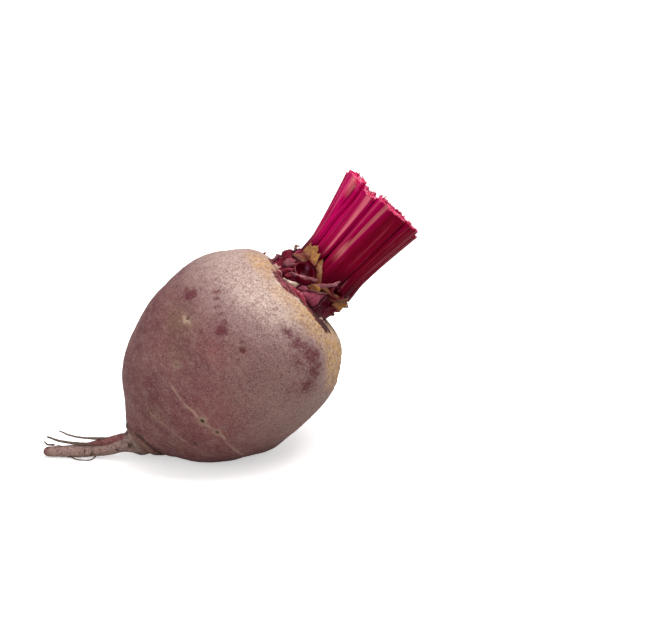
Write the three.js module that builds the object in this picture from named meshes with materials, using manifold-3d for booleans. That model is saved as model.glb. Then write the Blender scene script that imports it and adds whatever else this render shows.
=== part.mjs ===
// A beetroot with its leaves trimmed: the swollen root with its taproot and rootlets, the crown with the
// scars and dry bases of old leaves, and the stalks of the young leaves, cut short.
//
// Millimetres, +Z up. The root lies on the surface z = 0 with its crown raised. The origin is in the
// middle of the flat spot that it rests on, and +X is the way that the crown points.
//
// The root, the crown and the stalks are shaped in the root's own frame: its axis is +Z, from the
// taproot's neck near 0 to the crown, +X is the side that faces down, and +Y is the part's +Y.
import * as THREE from "three";
import { mergeVertices } from "three/addons/utils/BufferGeometryUtils.js";
import Module from "manifold-3d";

const wasm = await Module();
wasm.setup();

// The lie of the root: its axis rises toward the crown, and the surface flattens its lowest side.
const AXIS_RISE = degrees(40);
const FLAT_DEPTH = 2.3;
// The flat spot's middle lies this far in front of the lowest point.
const FLAT_FORWARD = 4;
// The room kept between pieces that touch.
const GAP = 0.35;

// The bulb's outline: radius and place along the axis, from the taproot's neck to the crown's seat.
const BULB_OUTLINE = [
  [4.0, -8.0],
  [7.2, -5.2],
  [13.9, 0.4],
  [24.7, 9.0],
  [32.2, 20.6],
  [36.9, 36.0],
  [38.4, 50.8],
  [36.4, 64.2],
  [31.1, 73.4],
  [26.3, 78.5],
  [21.6, 80.8],
  [15.6, 81.2],
];
const BULB_FOOT = -8;
const RIM = 80.8;
const SEAT_RADIUS = 14.9;
const SEAT_DEPTH = 1.8;
const BULB_SEGMENTS = 52;
const BULB_RINGS = 32;

// The lower side swells into a heel that carries the weight.
const HEEL = { along: 30, length: 9, height: 3.9, halfAngle: 23 };

// A turn about the axis is counted from the side that shows best. Its +90 degrees is the lower side of
// the rim, and -90 degrees the upper.
const BEST_SIDE = degrees(-116);
const LOWER_SIDE = towards(90);

// How far the middle of each stretch stands off the bulb's axis, toward the lower side.
const SHOULDER = 76;
const OFF_AXIS = [
  [50.0, 0.0],
  [SHOULDER, 0.7],
  [80.8, -1.6],
  [95.4, 0.9],
];
const SHOULDER_FADE = [14, 22];

// The crown: radius and place, from its foot in the root's seat to the growing point.
const CROWN_OUTLINE = [
  [14.5, 79.4],
  [14.9, 81.4],
  [14.6, 84.6],
  [14.2, 88.6],
  [13.8, 92.6],
  [12.6, 95.4],
  [7.4, 97.0],
];
const CROWN_TOP = 97.2;
const CROWN_SEGMENTS = 52;
const CROWN_RINGS = 12;

// Leaf scars: three rings of five, each ring turned against the one below. Every scar is a shallow dish,
// and a ridge stands up where two meet.
const SCAR_RINGS = [
  { turn: 65, along: 83.8 },
  { turn: -25, along: 89.0 },
  { turn: 35, along: 93.4 },
];
const SCARS_IN_RING = 5;
const SCAR_HALF_WIDTH = 7.0;
const SCAR_HALF_HEIGHT = 4.4;
const SCAR_DEPTH = 1.2;
const SCAR_EDGE = 0.8;

// Some scars still hold the foot of a leaf stalk that was cut close: a short oval cup.
const CUPS = [
  { turn: -19, along: 88.4, halfWidth: 4.6, halfThick: 3.5, reach: 1.6 },
  { turn: 38, along: 92.2, halfWidth: 3.6, halfThick: 2.3, reach: 1.6 },
  { turn: 118, along: 88.0, halfWidth: 4.4, halfThick: 2.9, reach: 2.0 },
  { turn: 176, along: 86.4, halfWidth: 4.8, halfThick: 3.1, reach: 1.8 },
  { turn: -108, along: 87.2, halfWidth: 4.6, halfThick: 3.0, reach: 1.8 },
];
const CUP_ROOT = 9.5;
const CUP_RISE = 0.55;
const CUP_SEGMENTS = 14;

// Dry bases of older leaves: thin curved shields with a torn edge that lie against the crown and lift off
// it where it rounds over.
const DRY_BASES = [
  { turn: -38, foot: 93.2, height: 6.2, halfAngle: 20, lift: 14 },
  { turn: 11, foot: 86.0, height: 4.6, halfAngle: 8.5, lift: 8 },
  { turn: 67, foot: 87.8, height: 5.2, halfAngle: 11, lift: 8 },
  { turn: 147, foot: 88.4, height: 8.0, halfAngle: 8, lift: 10 },
  { turn: -146, foot: 88.0, height: 8.8, halfAngle: 15, lift: 14 },
];
const DRY_GAP = 0.7;
const DRY_THICKNESS = 0.9;
const DRY_SEGMENTS = 8;
const DRY_ROWS = 5;

// The leaf stalks: a ring of nine, five within it, and the youngest in the middle. Each leans out by its
// spread and is cut at its own height. Its breadth is its share of the ring's width and of the circle,
// and its swing is how far round the axis its cut end stands from its foot, in degrees.
const STALK_RINGS = [
  {
    turn: 9,
    breadths: [1.34, 0.94, 0.89, 0.94, 0.97, 0.94, 1.03, 1.12, 0.79],
    swings: [7, 4, 0, 0, 0, 0, 6, 13, 12],
    foot: 10.6,
    spread: 15.7,
    width: 7.0,
    thickness: 4.9,
    swell: 1.36,
  },
  {
    turn: 21,
    breadths: [1, 1, 1, 1, 1],
    swings: [0, 0, 0, 0, 0],
    foot: 4.7,
    spread: 8.8,
    width: 4.9,
    thickness: 3.5,
    swell: 1.5,
  },
  { turn: 0, breadths: [1], swings: [0], foot: 0, spread: 1.0, width: 3.6, thickness: 2.8, swell: 1.35 },
];
const STALK_FOOT = 93.4;
const STALK_CUT = 129.4;
const STALK_CUT_RISE = 0.1;
const STALK_CUT_JITTER = 1.1;
const STALK_LEAN = -5.9;
const STALK_BOW = 1.1;
const STALK_SEGMENTS = 14;
const STALK_STEPS = 7;

// The taproot runs down to the surface and along it. These points are in the part's frame.
const TAPROOT_ROUTE = [
  [-39.6, 0.5, 6.0],
  [-44.4, 2.0, 4.0],
  [-52.0, 4.5, 2.9],
  [-61.4, 7.0, 2.45],
  [-70.6, 9.7, 2.1],
];
const TAPROOT_SUNK = 4;
const TAPROOT_RADII = [5.0, 4.2, 3.0, 2.5, 2.5, 2.4, 2.2, 2.0, 1.8, 0.9];
const TAPROOT_SEGMENTS = 14;
const TAPROOT_STEPS = 22;

// Rootlets from inside the taproot, in the part's frame. The first is a side root.
const ROOTLETS = [
  { radii: [1.9, 1.7, 1.1, 0.6], route: [[-33, -0.6, 9.6], [-39, 0.4, 8.4], [-45, 1.8, 7.2], [-52, 3.8, 6.0]] },
  { radii: [0.9, 0.6, 0.45], route: [[-46, 2.3, 5.2], [-53, 4.4, 5.8], [-61, 6.4, 6.6], [-70, 9.2, 8.8]] },
  { radii: [0.8, 0.5, 0.4], route: [[-44, 1.6, 6.4], [-51, 3.6, 7.6], [-58, 5.6, 9.0], [-65, 7.6, 11.0]] },
];
const ROOTLET_SEGMENTS = 6;
const ROOTLET_STEPS = 8;

const ROOT_SKIN = { color: 0x8a6264, roughness: 0.62, metalness: 0 };
const CROWN_FLESH = { color: 0x6e1f3c, roughness: 0.5, metalness: 0 };
const DRY_HUSK = { color: 0xa9763c, roughness: 0.75, metalness: 0 };
const STALK_FLESH = { color: 0xa80a4e, roughness: 0.38, metalness: 0 };

// Degrees as radians.
function degrees(angle) {
  return THREE.MathUtils.degToRad(angle);
}

// The direction about the axis for a turn in degrees from the side that shows best.
function towards(turn) {
  const angle = BEST_SIDE + degrees(turn);
  return new THREE.Vector3(Math.cos(angle), Math.sin(angle), 0);
}

// A closed geometry as a solid.
function solidOf(geometry) {
  const bare = geometry.clone();
  bare.deleteAttribute("normal");
  bare.deleteAttribute("uv");
  const merged = mergeVertices(bare, 1e-4);
  const vertProperties = new Float32Array(merged.attributes.position.array);
  const triVerts = new Uint32Array(merged.index.array);
  return new wasm.Manifold(new wasm.Mesh({ numProp: 3, vertProperties, triVerts }));
}

// A solid as a named mesh.
function meshOf(name, solid, finish) {
  const { vertProperties, triVerts } = solid.getMesh();
  const geometry = new THREE.BufferGeometry();
  geometry.setAttribute("position", new THREE.BufferAttribute(vertProperties, 3));
  geometry.setIndex(new THREE.BufferAttribute(triVerts, 1));
  geometry.computeVertexNormals();
  const mesh = new THREE.Mesh(geometry, new THREE.MeshStandardMaterial(finish));
  mesh.name = name;
  return mesh;
}

// A closed skin over rings of points. Every ring runs the same way and has the same count.
function loft(rings) {
  const count = rings[0].length;
  const middle = (ring) => ring.reduce((sum, p) => sum.add(p), new THREE.Vector3()).divideScalar(count);
  const points = [...rings.flat(), middle(rings[0]), middle(rings.at(-1))];
  const foot = points.length - 2;
  const head = points.length - 1;
  const index = [];
  for (let i = 0; i < count; i++) {
    const next = (i + 1) % count;
    index.push(foot, next, i);
    for (let k = 0; k < rings.length - 1; k++) {
      const low = k * count;
      const high = low + count;
      index.push(low + i, low + next, high + next, low + i, high + next, high + i);
    }
    const last = (rings.length - 1) * count;
    index.push(head, last + i, last + next);
  }
  return new THREE.BufferGeometry().setFromPoints(points).setIndex(index);
}

// A closed blade between two grids of points, front and back, split into triangles alike on both.
function blade(front, back) {
  const rows = front.length;
  const count = front[0].length;
  const points = [...front.flat(), ...back.flat()];
  const index = [];
  const behind = rows * count;
  const quad = (a, b, c, d) => index.push(a, b, c, a, c, d);
  for (let k = 0; k < rows - 1; k++) {
    for (let i = 0; i < count - 1; i++) {
      const a = k * count + i;
      const c = a + count + 1;
      index.push(a, a + 1, c, a, c, c - 1);
      index.push(behind + a, behind + c, behind + a + 1, behind + a, behind + c - 1, behind + c);
    }
    const left = k * count;
    const right = left + count - 1;
    quad(left, left + count, behind + left + count, behind + left);
    quad(right + count, right, behind + right, behind + right + count);
  }
  const top = (rows - 1) * count;
  for (let i = 0; i < count - 1; i++) {
    quad(i + 1, i, behind + i, behind + i + 1);
    quad(top + i, top + i + 1, behind + top + i + 1, behind + top + i);
  }
  return new THREE.BufferGeometry().setFromPoints(points).setIndex(index);
}

// A round rod along a curve, with its radius read from a list that is spread evenly along it.
function rod(curve, radii, segments, steps) {
  const frames = curve.computeFrenetFrames(steps, false);
  const rings = [];
  for (let k = 0; k <= steps; k++) {
    const centre = curve.getPointAt(k / steps);
    const radius = between(radii, k / steps);
    const ring = [];
    for (let i = 0; i < segments; i++) {
      const turn = (2 * Math.PI * i) / segments;
      const point = centre.clone();
      point.addScaledVector(frames.normals[k], radius * Math.cos(turn));
      point.addScaledVector(frames.binormals[k], radius * Math.sin(turn));
      ring.push(point);
    }
    rings.push(ring);
  }
  return loft(rings);
}

// The value of a list of evenly spread numbers at a share of the way along it.
function between(values, share) {
  const place = share * (values.length - 1);
  const low = Math.min(Math.floor(place), values.length - 2);
  return THREE.MathUtils.lerp(values[low], values[low + 1], place - low);
}

// A profile of [radius, along] pairs turned about +Z. The profile starts and ends on the axis.
function turned(profile, segments) {
  const points = profile.map(([radius, along]) => new THREE.Vector2(radius, along));
  return new THREE.LatheGeometry(points, segments).rotateX(Math.PI / 2);
}

// A smooth outline through a few [radius, along] pairs, as a finer list of pairs.
function smooth(outline, count) {
  const curve = new THREE.SplineCurve(outline.map(([radius, along]) => new THREE.Vector2(radius, along)));
  return curve.getSpacedPoints(count).map((p) => [p.x, p.y]);
}

// Moves each vertex of a geometry to where the function puts it.
function reshape(geometry, move) {
  const place = geometry.attributes.position;
  const point = new THREE.Vector3();
  for (let i = 0; i < place.count; i++) {
    point.fromBufferAttribute(place, i);
    move(point);
    place.setXYZ(i, point.x, point.y, point.z);
  }
  return geometry;
}

// Where the middle of the root or crown stands at a place along the axis.
function middleAt(along) {
  let reach = OFF_AXIS[0][1];
  for (let i = 1; i < OFF_AXIS.length; i++) {
    const [from, start] = OFF_AXIS[i - 1];
    const [to, end] = OFF_AXIS[i];
    if (along > from) {
      reach = THREE.MathUtils.lerp(start, end, THREE.MathUtils.smoothstep(along, from, to));
    }
  }
  return LOWER_SIDE.clone().multiplyScalar(reach);
}

// The bulb isn't quite round: broad lobes and a few low swells.
function unevenBulb(point) {
  const turn = Math.atan2(point.y, point.x);
  const belly = Math.sin((Math.PI * THREE.MathUtils.clamp(point.z, 0, RIM)) / RIM);
  const span = Math.hypot((point.z - HEEL.along) / HEEL.length, turn / degrees(HEEL.halfAngle));
  const lobes = 0.012 * Math.cos(2 * turn + 0.8) + 0.009 * Math.cos(3 * turn - 1.1 + 0.03 * point.z);
  const swell = 0.008 * Math.sin(0.17 * point.z + 1.3) * Math.sin(4 * turn + 0.09 * point.z);
  const radius = Math.hypot(point.x, point.y);
  const shoulder = middleAt(SHOULDER);
  const seat = middleAt(RIM);
  const outer = THREE.MathUtils.smoothstep(radius, ...SHOULDER_FADE);
  const shift = point.z > SHOULDER ? seat.lerp(shoulder, outer) : middleAt(point.z);
  const grow = 1 + belly * (lobes + swell) + (HEEL.height * Math.exp(-(span ** 2))) / Math.max(radius, 1);
  point.x = point.x * grow + shift.x;
  point.y = point.y * grow + shift.y;
}

// The bulb, with a shallow seat for the crown inside its rim.
function bulb() {
  const seatFloor = RIM - SEAT_DEPTH;
  const profile = [
    [0, BULB_FOOT],
    ...smooth(BULB_OUTLINE, BULB_RINGS),
    [SEAT_RADIUS, seatFloor],
    [0, seatFloor],
  ];
  return reshape(turned(profile, BULB_SEGMENTS), unevenBulb);
}

// The places of the leaf scars on the crown.
function scars() {
  return SCAR_RINGS.flatMap(({ turn, along }, ring) =>
    Array.from({ length: SCARS_IN_RING }, (_, i) => ({
      turn: BEST_SIDE + degrees(turn + (360 * i) / SCARS_IN_RING + 7 * Math.sin(5.1 * i + ring)),
      along: along + 0.6 * Math.sin(3.7 * i + 2 * ring),
    })),
  );
}

// How far the crown stands out of its plain form at a turn and place: dishes, with ridges between them.
function scarRelief(turn, along, radius) {
  const spans = scars().map((scar) => {
    const across = Math.atan2(Math.sin(turn - scar.turn), Math.cos(turn - scar.turn)) * radius;
    return Math.hypot(across / SCAR_HALF_WIDTH, (along - scar.along) / SCAR_HALF_HEIGHT);
  });
  spans.sort((a, b) => a - b);
  const dish = -SCAR_DEPTH * Math.max(0, 1 - spans[0] ** 2);
  const ridge = SCAR_EDGE * Math.exp(-(((spans[1] - spans[0]) / 0.24) ** 2));
  return dish + ridge;
}

// How much of the scars' relief shows at a place: none in the seat and none under the leaf stalks.
function scarFade(along) {
  const rising = THREE.MathUtils.smoothstep(along, RIM, RIM + 1.6);
  return rising * (1 - THREE.MathUtils.smoothstep(along, STALK_FOOT - 1.4, STALK_FOOT + 0.4));
}

// The crown's radius at a turn and place.
function crownRadius(turn, along) {
  const side = smooth(CROWN_OUTLINE, CROWN_RINGS);
  const above = side.findIndex(([, place]) => place > along);
  const [low, from] = side[above - 1];
  const [high, to] = side[above];
  const plain = THREE.MathUtils.lerp(low, high, (along - from) / (to - from));
  return plain + scarFade(along) * scarRelief(turn, along, plain);
}

// The crown's scarred form, grown outward by a margin.
function crownForm(margin) {
  const side = smooth(CROWN_OUTLINE, CROWN_RINGS).map(([radius, along]) => [radius + margin, along + margin]);
  const foot = RIM - SEAT_DEPTH + GAP;
  const profile = [[0, foot], [SEAT_RADIUS - 2 * GAP, foot], ...side, [0, CROWN_TOP + margin]];
  return reshape(turned(profile, CROWN_SEGMENTS), (point) => {
    const radius = Math.hypot(point.x, point.y);
    const fade = scarFade(point.z);
    if (fade > 0) {
      const grow = 1 + (fade * scarRelief(Math.atan2(point.y, point.x), point.z, radius)) / radius;
      point.x *= grow;
      point.y *= grow;
    }
    const shift = middleAt(point.z);
    point.x += shift.x;
    point.y += shift.y;
  });
}

// A short oval cup that points out and up from the crown. Grown by a margin, it is filled.
function cup({ turn, along, halfWidth, halfThick, reach }, margin) {
  const out = towards(turn);
  const aside = new THREE.Vector3(-out.y, out.x, 0);
  const aim = out.clone().setZ(CUP_RISE).normalize();
  const up = new THREE.Vector3().crossVectors(aim, aside);
  const start = middleAt(along).addScaledVector(out, CUP_ROOT);
  start.z = along - CUP_RISE * 4;
  const ringAt = (distance, size) =>
    Array.from({ length: CUP_SEGMENTS }, (_, i) => {
      const angle = (2 * Math.PI * i) / CUP_SEGMENTS;
      const point = start.clone().addScaledVector(aim, distance);
      point.addScaledVector(aside, (halfWidth * size + margin) * Math.cos(angle));
      return point.addScaledVector(up, (halfThick * size + margin) * Math.sin(angle));
    });
  const lip = 5 + reach;
  const wall = [ringAt(0, 1.2), ringAt(lip - 1.4, 1.08), ringAt(lip + margin, 0.94)];
  const hollow = [ringAt(lip - 0.4, 0.74), ringAt(lip - 2.0, 0.42)];
  return loft(margin > 0 ? wall : [...wall, ...hollow]);
}

// The crown with its scars and cups joined into one body, grown outward by a margin.
function crown(margin) {
  return CUPS.reduce((body, row) => body.add(solidOf(cup(row, margin))), solidOf(crownForm(margin)));
}

// A dry leaf base: a thin curved shield whose upper edge is torn into points.
function dryBase({ turn, foot, height, halfAngle, lift }) {
  const lean = Math.tan(degrees(lift));
  const lifted = STALK_FOOT - 0.8;
  const pointAt = (row, share, depth) => {
    const spread = halfAngle * (2 * share - 1) * (1 - 0.2 * (row / DRY_ROWS) ** 2);
    const torn = 1 - 0.24 * Math.abs(Math.sin(7 * share + turn)) - 0.3 * (2 * share - 1) ** 4;
    const along = foot + (height * torn * row) / DRY_ROWS;
    const out = towards(turn + spread);
    const against = Math.min(along, lifted);
    const radius = crownRadius(Math.atan2(out.y, out.x), against) + DRY_GAP + (along - against) * lean + depth;
    return middleAt(against).addScaledVector(out, radius).setZ(along);
  };
  const grid = (thickness) =>
    Array.from({ length: DRY_ROWS + 1 }, (_, row) =>
      Array.from({ length: DRY_SEGMENTS + 1 }, (_, i) => pointAt(row, i / DRY_SEGMENTS, thickness)),
    );
  return solidOf(blade(grid(DRY_THICKNESS), grid(0)));
}

// A leaf stalk's section: round outside, with ribs, and grooved on the side that faces the middle.
function stalkSection(width, thickness) {
  return Array.from({ length: STALK_SEGMENTS }, (_, i) => {
    const turn = (2 * Math.PI * i) / STALK_SEGMENTS;
    const outward = Math.cos(turn);
    const rib = 1 + 0.03 * Math.cos(6 * turn);
    const groove = outward < 0 ? 1 - 0.6 * outward ** 2 : 1;
    const wedge = 1 + 0.14 * outward;
    return [(thickness / 2) * outward * rib * groove, (width / 2) * Math.sin(turn) * rib * wedge];
  });
}

// The turn of each stalk in a ring, from the first one's.
function stalkTurns({ turn, breadths }) {
  const whole = breadths.reduce((sum, breadth) => sum + breadth, 0);
  let before = -breadths[0] / 2;
  return breadths.map((breadth) => {
    const middle = before + breadth / 2;
    before += breadth;
    return turn + (360 * middle) / whole;
  });
}

// One leaf stalk, from inside the crown to its cut end, trimmed to sit on what it grows from.
function stalk(ring, i, room) {
  const turn = stalkTurns(ring)[i];
  const swing = ring.swings[i];
  const out = towards(turn);
  const end = towards(turn + swing);
  const base = middleAt(CROWN_TOP);
  const low = end.dot(LOWER_SIDE) * ring.spread;
  const foot = base.clone().addScaledVector(out, ring.foot).setZ(STALK_FOOT);
  const tip = base.clone().addScaledVector(end, ring.spread).addScaledVector(LOWER_SIDE, STALK_LEAN);
  tip.z = STALK_CUT + STALK_CUT_RISE * low + STALK_CUT_JITTER * Math.sin(4.3 * i + ring.breadths.length);
  const middle = foot.clone().lerp(tip, 0.5).addScaledVector(out, -STALK_BOW);
  const curve = new THREE.QuadraticBezierCurve3(foot, middle, tip);
  const rings = [];
  for (let k = 0; k <= STALK_STEPS; k++) {
    const share = k / STALK_STEPS;
    const size = THREE.MathUtils.lerp(1, ring.swell, share);
    const along = curve.getTangentAt(share);
    const facing = towards(turn + swing * share);
    const aside = new THREE.Vector3().crossVectors(along, facing).normalize();
    const outward = new THREE.Vector3().crossVectors(aside, along);
    const centre = curve.getPointAt(share);
    rings.push(
      stalkSection(ring.width * ring.breadths[i] * size, ring.thickness * size).map(([depth, across]) =>
        centre.clone().addScaledVector(outward, depth).addScaledVector(aside, across),
      ),
    );
  }
  return solidOf(loft(rings)).subtract(room);
}

// Sets the root's frame so that the surface cuts the bulb's lowest side flat, with the origin there.
function lay(frame, bulbGeometry) {
  frame.rotation.y = Math.PI / 2 - AXIS_RISE;
  frame.updateMatrixWorld();
  const place = bulbGeometry.attributes.position;
  const lowest = new THREE.Vector3(0, 0, Infinity);
  const point = new THREE.Vector3();
  for (let i = 0; i < place.count; i++) {
    point.fromBufferAttribute(place, i).applyMatrix4(frame.matrixWorld);
    if (point.z < lowest.z) {
      lowest.copy(point);
    }
  }
  frame.position.set(-lowest.x - FLAT_FORWARD, 0, -lowest.z - FLAT_DEPTH);
  frame.updateMatrixWorld();
}

// The taproot and rootlets, from routes in the part's frame, as one solid in the root's frame.
function taproot(frame) {
  const local = (p) => frame.worldToLocal(new THREE.Vector3(...p));
  const sunk = new THREE.Vector3(0, 0, TAPROOT_SUNK);
  const route = new THREE.CatmullRomCurve3([sunk, ...TAPROOT_ROUTE.map(local)]);
  const body = solidOf(rod(route, TAPROOT_RADII, TAPROOT_SEGMENTS, TAPROOT_STEPS));
  return ROOTLETS.reduce((joined, { radii, route: points }) => {
    const curve = new THREE.CatmullRomCurve3(points.map(local));
    return joined.add(solidOf(rod(curve, radii, ROOTLET_SEGMENTS, ROOTLET_STEPS)));
  }, body);
}

// Everything under the surface, in the root's frame.
function underSurface(frame) {
  const block = new THREE.BoxGeometry(300, 300, 60).translate(0, 0, -30);
  return solidOf(block.applyMatrix4(frame.matrixWorld.clone().invert()));
}

const beetroot = new THREE.Group();
const leaning = new THREE.Group();
beetroot.add(leaning);

const bulbGeometry = bulb();
lay(leaning, bulbGeometry);
const root = solidOf(bulbGeometry).add(taproot(leaning)).subtract(underSurface(leaning));
leaning.add(meshOf("swollen_root", root, ROOT_SKIN));

leaning.add(meshOf("crown", crown(0), CROWN_FLESH));

const crownRoom = crown(GAP);
const stalks = STALK_RINGS.flatMap((ring) =>
  ring.breadths.map((_, i) => stalk(ring, i, crownRoom)),
);
stalks.forEach((solid, i) => leaning.add(meshOf(`leaf_stalk_${i + 1}`, solid, STALK_FLESH)));

DRY_BASES.forEach((row, i) => {
  leaning.add(meshOf(`dry_leaf_base_${i + 1}`, dryBase(row), DRY_HUSK));
});

export default beetroot;
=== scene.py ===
import logging
import math
from dataclasses import dataclass, field
from enum import Enum

import bpy
import numpy as np
from mathutils import Matrix, Vector


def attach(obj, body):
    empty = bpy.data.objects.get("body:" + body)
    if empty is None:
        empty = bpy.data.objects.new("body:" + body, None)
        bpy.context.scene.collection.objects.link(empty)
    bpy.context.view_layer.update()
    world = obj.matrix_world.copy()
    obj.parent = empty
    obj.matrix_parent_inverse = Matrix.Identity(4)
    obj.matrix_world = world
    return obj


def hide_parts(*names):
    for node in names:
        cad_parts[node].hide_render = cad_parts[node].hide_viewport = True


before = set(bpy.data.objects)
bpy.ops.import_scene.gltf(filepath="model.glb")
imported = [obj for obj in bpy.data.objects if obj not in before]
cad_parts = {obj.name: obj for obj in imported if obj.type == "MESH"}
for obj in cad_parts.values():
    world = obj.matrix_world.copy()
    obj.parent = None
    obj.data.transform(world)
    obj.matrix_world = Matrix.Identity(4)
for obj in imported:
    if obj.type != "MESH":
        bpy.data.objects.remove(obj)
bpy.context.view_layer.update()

MM = 0.001
BODY = "root"
LOG = logging.getLogger("beetroot")

Array = np.ndarray
Socket = bpy.types.NodeSocket
Nodes = bpy.types.NodeTree
Material = bpy.types.Material

WORD = np.uint64(0xFFFFFFFF)
CELL_OFFSET = 100000
CELL_PRIMES = np.array([374761393, 668265263, 2246822519], np.uint64)
SEED_PRIME = 3266489917
SHUFFLES = ((13, 1274126177), (15, 2654435761))
LAST_SHIFT = 16
CURVE_STEPS = 40
ACROSS_ONLY = np.array([1, 1, 0])


class Slot(Enum):
    """The record's material slots."""

    SKIN = "root_skin"
    CROWN = "crown_flesh"
    HUSK = "dry_husk"
    STALK = "stalk_flesh"


class Mark(Enum):
    """The kinds of mark on the skin, each kept as a mask on the mesh."""

    BLOTCH = "mask_blotch"
    CORK = "mask_cork"
    # Painted shade in pits, creases and under the crown's rim, and the taproot's own dark patches.
    HOLE = "mask_hole"
    RUST = "mask_rust"
    RUDDY = "mask_ruddy"
    OLIVE = "mask_olive"


class Tone(Enum):
    """The tones of the torn skin and folds round the crown, as screen colours."""

    PURPLE = (204, 100, 126)
    MAUVE = (196, 134, 142)
    RED = (190, 66, 86)
    PINK = (216, 128, 136)
    OLIVE = (146, 104, 60)
    GOLD = (188, 136, 70)
    WHITE = (255, 230, 210)

    def mask(self) -> str:
        """The name of the mask that a mesh keeps for the tone."""
        return f"mask_{self.name.lower()}"


# Numbers and places.


def ramp(value: Array, low: float, high: float) -> Array:
    """A smooth rise from 0 at low to 1 at high."""
    share = np.clip((value - low) / (high - low), 0, 1)
    return share * share * (3 - 2 * share)


def spread(*parts: Array | float) -> Array:
    """The parts side by side, each spread over every place."""
    return np.stack(np.broadcast_arrays(*parts), axis=-1)


def hump(value: Array, width: float | Array) -> Array:
    """A soft peak of 1 where a value is 0, faded out beyond a width."""
    return np.exp(-((value / width) ** 2))


def lattice(cell: Array, seed: int) -> Array:
    """A repeatable value from 0 to 1 for each whole-numbered cell.

    Args:
        cell: Whole numbers, three to a row.
        seed: Picks another pattern.

    Returns:
        One value for each row.
    """
    mixed = ((cell + CELL_OFFSET).astype(np.uint64) * CELL_PRIMES).sum(axis=-1)
    mixed = (mixed + np.uint64(seed * SEED_PRIME)) & WORD
    for shift, factor in SHUFFLES:
        mixed = ((mixed ^ (mixed >> np.uint64(shift))) * np.uint64(factor)) & WORD
    return (mixed ^ (mixed >> np.uint64(LAST_SHIFT))).astype(float) / float(WORD)


def rough(points: Array, size: float, pattern: int) -> Array:
    """Smooth noise with bumps of one size.

    Args:
        points: Places in millimetres, three numbers to a row.
        size: The size of a bump in millimetres.
        pattern: Picks another pattern.

    Returns:
        One value for each place, from -1 to 1.
    """
    place = np.asarray(points, float) / size
    cell = np.floor(place).astype(np.int64)
    share = place - cell
    share = share * share * share * (share * (share * 6 - 15) + 10)
    total = np.zeros(place.shape[:-1])
    for corner in np.ndindex(2, 2, 2):
        weight = np.prod(np.where(np.array(corner, bool), share, 1 - share), axis=-1)
        total += weight * lattice(cell + np.array(corner), pattern)
    return total * 2 - 1


def layered(points: Array, size: float, pattern: int, layers: int = 3) -> Array:
    """Noise of several sizes, each layer half as large and half as strong as the one before.

    Args:
        points: Places in millimetres.
        size: The size of the largest bumps in millimetres.
        pattern: Picks another pattern.
        layers: How many sizes.

    Returns:
        One value for each place, from about -1 to 1.
    """
    total = np.zeros(np.asarray(points).shape[:-1])
    for layer in range(layers):
        total += rough(points, size / 2**layer, pattern + layer) / 2**layer
    return total / (2 - 2 ** (1 - layers))


def curve_through(rows: list, count: int) -> Array:
    """A smooth line through rows of numbers, with its points spaced evenly.

    Args:
        rows: The rows that the line passes through.
        count: How many steps the line gets.

    Returns:
        count + 1 rows.
    """
    table = np.asarray(rows, float)
    place = np.linspace(0, len(table) - 1, CURVE_STEPS * len(table))
    low = np.minimum(place.astype(int), len(table) - 2)
    t = (place - low)[:, None]
    before, start = table[np.maximum(low - 1, 0)], table[low]
    end, after = table[low + 1], table[np.minimum(low + 2, len(table) - 1)]
    leave, arrive = 0.5 * (end - before), 0.5 * (after - start)
    line = (2 * t**3 - 3 * t**2 + 1) * start + (t**3 - 2 * t**2 + t) * leave
    line += (-2 * t**3 + 3 * t**2) * end + (t**3 - t**2) * arrive
    length = run_lengths(line)
    even = np.linspace(0, length[-1], count + 1)
    return np.stack([np.interp(even, length, column) for column in line.T], axis=1)


def run_lengths(line: Array) -> Array:
    """How far along a line each of its points lies."""
    return np.concatenate([[0], np.cumsum(np.linalg.norm(np.diff(line, axis=0), axis=1))])


def unit(vectors: Array) -> Array:
    """The vectors with a length of one."""
    return vectors / np.maximum(np.linalg.norm(vectors, axis=-1, keepdims=True), 1e-12)


@dataclass(frozen=True)
class RootFrame:
    """Where the root's own frame lies in the part's frame.

    The root's axis is +Z, from the taproot's neck near 0 to the crown. A turn about the axis is counted
    in degrees from the side that shows best, and +90 is the lower side of the rim.
    """

    rise: float = 40.0
    origin: tuple = (-28.6555, 0, 11.01)
    best_side: float = -116.0
    lower_side: float = 90.0
    off_axis: tuple = ((50, 0), (76, 0.7), (80.8, -1.6), (95.4, 0.9))

    def axes(self) -> Array:
        """The root frame's three axes.

        Returns:
            One axis to a row, in the part's frame.
        """
        lean = math.radians(90 - self.rise)
        sine, cosine = math.sin(lean), math.cos(lean)
        return np.array([[cosine, 0, -sine], [0, 1, 0], [sine, 0, cosine]])

    def to_part(self, points: Array) -> Array:
        """Points of the root's frame, in the part's frame."""
        return np.asarray(points, float) @ self.axes() + np.array(self.origin)

    def to_root(self, points: Array) -> Array:
        """Points of the part's frame, in the root's frame."""
        return (np.asarray(points, float) - np.array(self.origin)) @ self.axes().T

    def towards(self, turn: Array | float) -> Array:
        """The direction about the axis for a turn in degrees."""
        angle = np.radians(self.best_side + np.asarray(turn, float))
        return spread(np.cos(angle), np.sin(angle))

    def middle(self, along: Array | float) -> Array:
        """Where the middle of the root or crown stands.

        Args:
            along: Places along the axis.

        Returns:
            Two numbers across the axis for each place.
        """
        place = np.asarray(along, float)
        reach = np.full(place.shape, self.off_axis[0][1])
        for (low, start), (high, end) in zip(self.off_axis, self.off_axis[1:]):
            reach = np.where(place > low, start + (end - start) * ramp(place, low, high), reach)
        return reach[..., None] * self.towards(self.lower_side)

    def place(self, turn: Array, along: Array, radius: Array) -> Array:
        """Points round the middle.

        Args:
            turn: Their turns in degrees.
            along: Their places along the axis.
            radius: Their distances from the middle there.

        Returns:
            The points in the root's frame.
        """
        turn, along, radius = np.broadcast_arrays(turn, along, radius)
        flat = self.middle(along) + self.towards(turn) * radius[..., None]
        return np.concatenate([flat, along[..., None].astype(float)], axis=-1)


LIE = RootFrame()


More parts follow.
